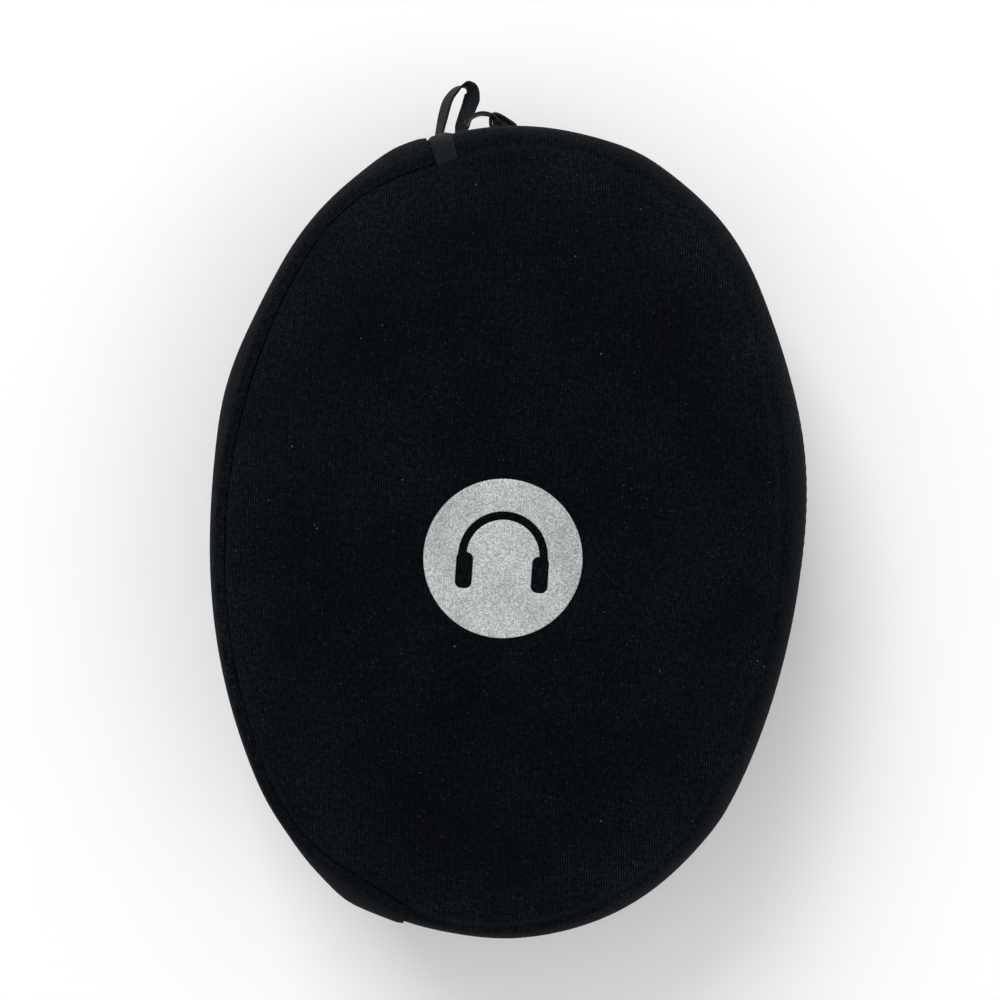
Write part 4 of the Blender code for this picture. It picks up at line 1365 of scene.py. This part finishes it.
def build_emblem():
    """Silver transfer: a fine sheet cut to the disc and the pictogram, its edge points on the outline."""
    low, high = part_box("emblem_disc")
    centre = (low + high) / 2
    radius = (high.x - low.x) / 2 / MM
    half = lid_half()
    count = 176
    line = np.linspace(-radius - 0.4, radius + 0.4, count)
    x, y = np.meshgrid(line, line, indexing="ij")
    cell = line[1] - line[0]
    for _ in range(3):
        away = emblem_distance(x, y, radius)
        step = 0.01
        slope_x = (emblem_distance(x + step, y, radius) - emblem_distance(x - step, y, radius)) / (2 * step)
        slope_y = (emblem_distance(x, y + step, radius) - emblem_distance(x, y - step, radius)) / (2 * step)
        near = np.abs(away) < 0.71 * cell
        x = np.where(near, x - away * slope_x, x)
        y = np.where(near, y - away * slope_y, y)
    index = np.arange(count * count).reshape(count, count)
    quads, _, _ = grid_faces(index)
    middle_x = x.ravel()[quads].mean(axis=1)
    middle_y = y.ravel()[quads].mean(axis=1)
    inside = emblem_distance(middle_x, middle_y, radius) < -0.02
    corners = emblem_distance(x, y, radius).ravel()[quads].max(axis=1) < 0.02
    across_x, across_y = x.ravel()[quads], y.ravel()[quads]
    area = (across_x[:, 2] - across_x[:, 0]) * (across_y[:, 3] - across_y[:, 1])
    area -= (across_x[:, 3] - across_x[:, 1]) * (across_y[:, 2] - across_y[:, 0])
    quads = quads[inside & corners & (np.abs(area) / 2 > 0.02 * cell ** 2)][:, ::-1]
    used, inverse = np.unique(quads, return_inverse=True)
    world_x = centre.x + x.ravel()[used] * MM
    world_y = centre.y + y.ravel()[used] * MM
    top = lid_height(half, world_x, world_y)
    points = np.stack([world_x, world_y, top + 0.13 * MM], axis=-1)
    mesh = bpy.data.meshes.new("headphone_emblem")
    mesh.from_pydata(points.tolist(), [], inverse.reshape(-1, 4).tolist())
    mesh.materials.append(finish("printed_silver"))
    mesh.shade_smooth()
    emblem = bpy.data.objects.new("headphone_emblem", mesh)
    bpy.context.scene.collection.objects.link(emblem)
    wall = emblem.modifiers.new("thickness", "SOLIDIFY")
    wall.thickness = 0.16 * MM
    wall.offset = -1
    put(emblem, "emblem_disc", "lid")


def lid_height(half, x, y):
    """Height of the lid's face over plan places inside CAP_DEPTH, by the shrunk oval each one lies on."""
    dense = np.linspace(0, math.tau, 2000, endpoint=False)
    ring_x, ring_y = flat_place(dense, np.full_like(dense, CAP_DEPTH))
    around = np.arctan2(ring_y, ring_x) % math.tau
    order = np.argsort(around)
    reach = np.interp(
        np.arctan2(y, x) % math.tau, around[order], np.hypot(ring_x, ring_y)[order], period=math.tau)
    share = np.hypot(x, y) / reach
    depth = HALF_WIDTH - share * (HALF_WIDTH - CAP_DEPTH)
    return MID + np.interp(depth, half.depth, half.height)


def area_light(name, place_at, aim, size, power, colour=(1, 1, 1)):
    """A square soft light that points at a place."""
    data = bpy.data.lights.new(name, "AREA")
    data.size = size
    data.energy = power
    data.color = colour
    made = bpy.data.objects.new(name, data)
    made.location = place_at
    made.rotation_euler = (Vector(aim) - Vector(place_at)).to_track_quat("-Z", "Y").to_euler()
    bpy.context.scene.collection.objects.link(made)
    return made


def build_stage():
    """Camera, pale floor and soft lights."""
    scene = bpy.context.scene
    stage = scene.case_stage
    scene.view_settings.view_transform = "Standard"
    c, s = math.cos(stage.tilt), math.sin(stage.tilt)
    right, up = stage.centre_offset
    aim = Vector((c * right - s * up, s * right + c * up, MID + 14 * MM))
    spot = Vector((aim.x + stage.side_step * c, aim.y + stage.side_step * s, MID + stage.distance))
    camera = bpy.data.objects.new("camera", bpy.data.cameras.new("camera"))
    scene.collection.objects.link(camera)
    camera.location = spot
    away = spot - aim
    camera.data.sensor_width = 36
    camera.data.lens = 36 * away.length / stage.view_width
    camera.rotation_euler = (0, math.atan2(away.xy.length, away.z), stage.tilt)
    camera.data.clip_start = 0.01
    scene.camera = camera
    size = 3.0
    mesh = bpy.data.meshes.new("floor")
    corners = [(-size, -size, 0), (size, -size, 0), (size, size, 0), (-size, size, 0)]
    mesh.from_pydata(corners, [], [(0, 1, 2, 3)])
    floor = bpy.data.objects.new("floor", mesh)
    floor.location.z = CAD_BOX[0].z - 0.2 * MM
    scene.collection.objects.link(floor)
    pale = Shader("pale_floor")
    speckle = pale.noise(pale.solid(), 40, 2)
    pale.set(Base_Color=pale.mix(speckle, (0.93, 0.93, 0.93), (0.95, 0.95, 0.95)), Roughness=0.9)
    mesh.materials.append(pale.material)
    world = bpy.data.worlds.new("studio")
    world.use_nodes = True
    world.node_tree.nodes["Background"].inputs["Color"].default_value = (1, 1, 1, 1)
    world.node_tree.nodes["Background"].inputs["Strength"].default_value = 0.74
    scene.world = world
    middle = (0, 0, MID)
    area_light("key", (-0.8, 1.7, 1.9), middle, 1.3, 34.0)
    area_light("fill", (1.6, -0.6, 2.0), middle, 1.6, 6.0, (1.0, 0.99, 0.97))


# Operators, one for each piece or group of like pieces

class CASE_OT_covers(bpy.types.Operator):
    """Build the knitted covers, the foam and the linings"""

    bl_idname = "case.covers"
    bl_label = "Covers, foam and linings"

    def execute(self, context):
        build_layers(base_half())
        build_layers(lid_half())
        return {"FINISHED"}


class CASE_OT_zip(bpy.types.Operator):
    """Build the tapes, coils, bindings and stitching"""

    bl_idname = "case.zip"
    bl_label = "Zip"

    def execute(self, context):
        for half in (base_half(), lid_half()):
            build_tape(half)
            build_coil(half)
            build_binding(half)
            build_stitches(half)
        return {"FINISHED"}


class CASE_OT_stops(bpy.types.Operator):
    """Build the crimped stops at the ends of the zip"""

    bl_idname = "case.stops"
    bl_label = "Zip stops"

    def execute(self, context):
        build_stop("base_top_stop", "base_crimped_stop", "base")
        build_stop("lid_top_stop", "lid_crimped_stop", "lid")
        build_stop("zip_bottom_stop", "bottom_crimped_stop", "base")
        return {"FINISHED"}


class CASE_OT_spine(bpy.types.Operator):
    """Build the spine panel and the lining behind it"""

    bl_idname = "case.spine"
    bl_label = "Spine"

    def execute(self, context):
        build_spine()
        build_hinge_lining()
        return {"FINISHED"}


class CASE_OT_ribbons(bpy.types.Operator):
    """Build the hang loop and the tab over the end of the zip"""

    bl_idname = "case.ribbons"
    bl_label = "Loop and tab"

    def execute(self, context):
        build_tab()
        build_loop()
        return {"FINISHED"}


class CASE_OT_slider(bpy.types.Operator):
    """Build the slider, its crown and the pull tab"""

    bl_idname = "case.slider"
    bl_label = "Slider and pull tab"

    def execute(self, context):
        build_slider()
        build_bridge()
        build_puller()
        return {"FINISHED"}


class CASE_OT_emblem(bpy.types.Operator):
    """Build the silver emblem on the lid"""

    bl_idname = "case.emblem"
    bl_label = "Emblem"

    def execute(self, context):
        build_emblem()
        return {"FINISHED"}


class CASE_OT_stage(bpy.types.Operator):
    """Set up the camera, the floor and the lights"""

    bl_idname = "case.stage"
    bl_label = "Stage"

    def execute(self, context):
        build_stage()
        return {"FINISHED"}


class CASE_PT_panel(bpy.types.Panel):
    """Settings and steps of the case"""

    bl_idname = "CASE_PT_panel"
    bl_label = "Headphone case"
    bl_space_type = "VIEW_3D"
    bl_region_type = "UI"
    bl_category = "Case"

    def draw(self, context):
        for group in ("case_shape", "case_zip", "case_colours", "case_stage"):
            box = self.layout.box()
            settings = getattr(context.scene, group)
            for key in settings.__annotations__:
                box.prop(settings, key)
        for step in STEPS:
            self.layout.operator(step.bl_idname)


STEPS = (
    CASE_OT_stage, CASE_OT_covers, CASE_OT_zip, CASE_OT_stops, CASE_OT_spine, CASE_OT_ribbons, CASE_OT_slider,
    CASE_OT_emblem,
)
GROUPS = {
    "case_shape": CaseShape, "case_zip": ZipShape, "case_colours": CaseColours, "case_stage": StageSettings}


def register():
    """Registers the classes and hangs each group of settings on the scene."""
    for cls in (*GROUPS.values(), *STEPS, CASE_PT_panel):
        bpy.utils.register_class(cls)
    for key, group in GROUPS.items():
        setattr(bpy.types.Scene, key, PointerProperty(type=group))


def unregister():
    """Undoes register, in reverse."""
    for key in GROUPS:
        delattr(bpy.types.Scene, key)
    for cls in reversed((*GROUPS.values(), *STEPS, CASE_PT_panel)):
        bpy.utils.unregister_class(cls)


def main():
    """Runs every step in order."""
    register()
    for step in STEPS:
        getattr(bpy.ops.case, step.bl_idname.split(".")[1])()


if __name__ == "__main__":
    main()
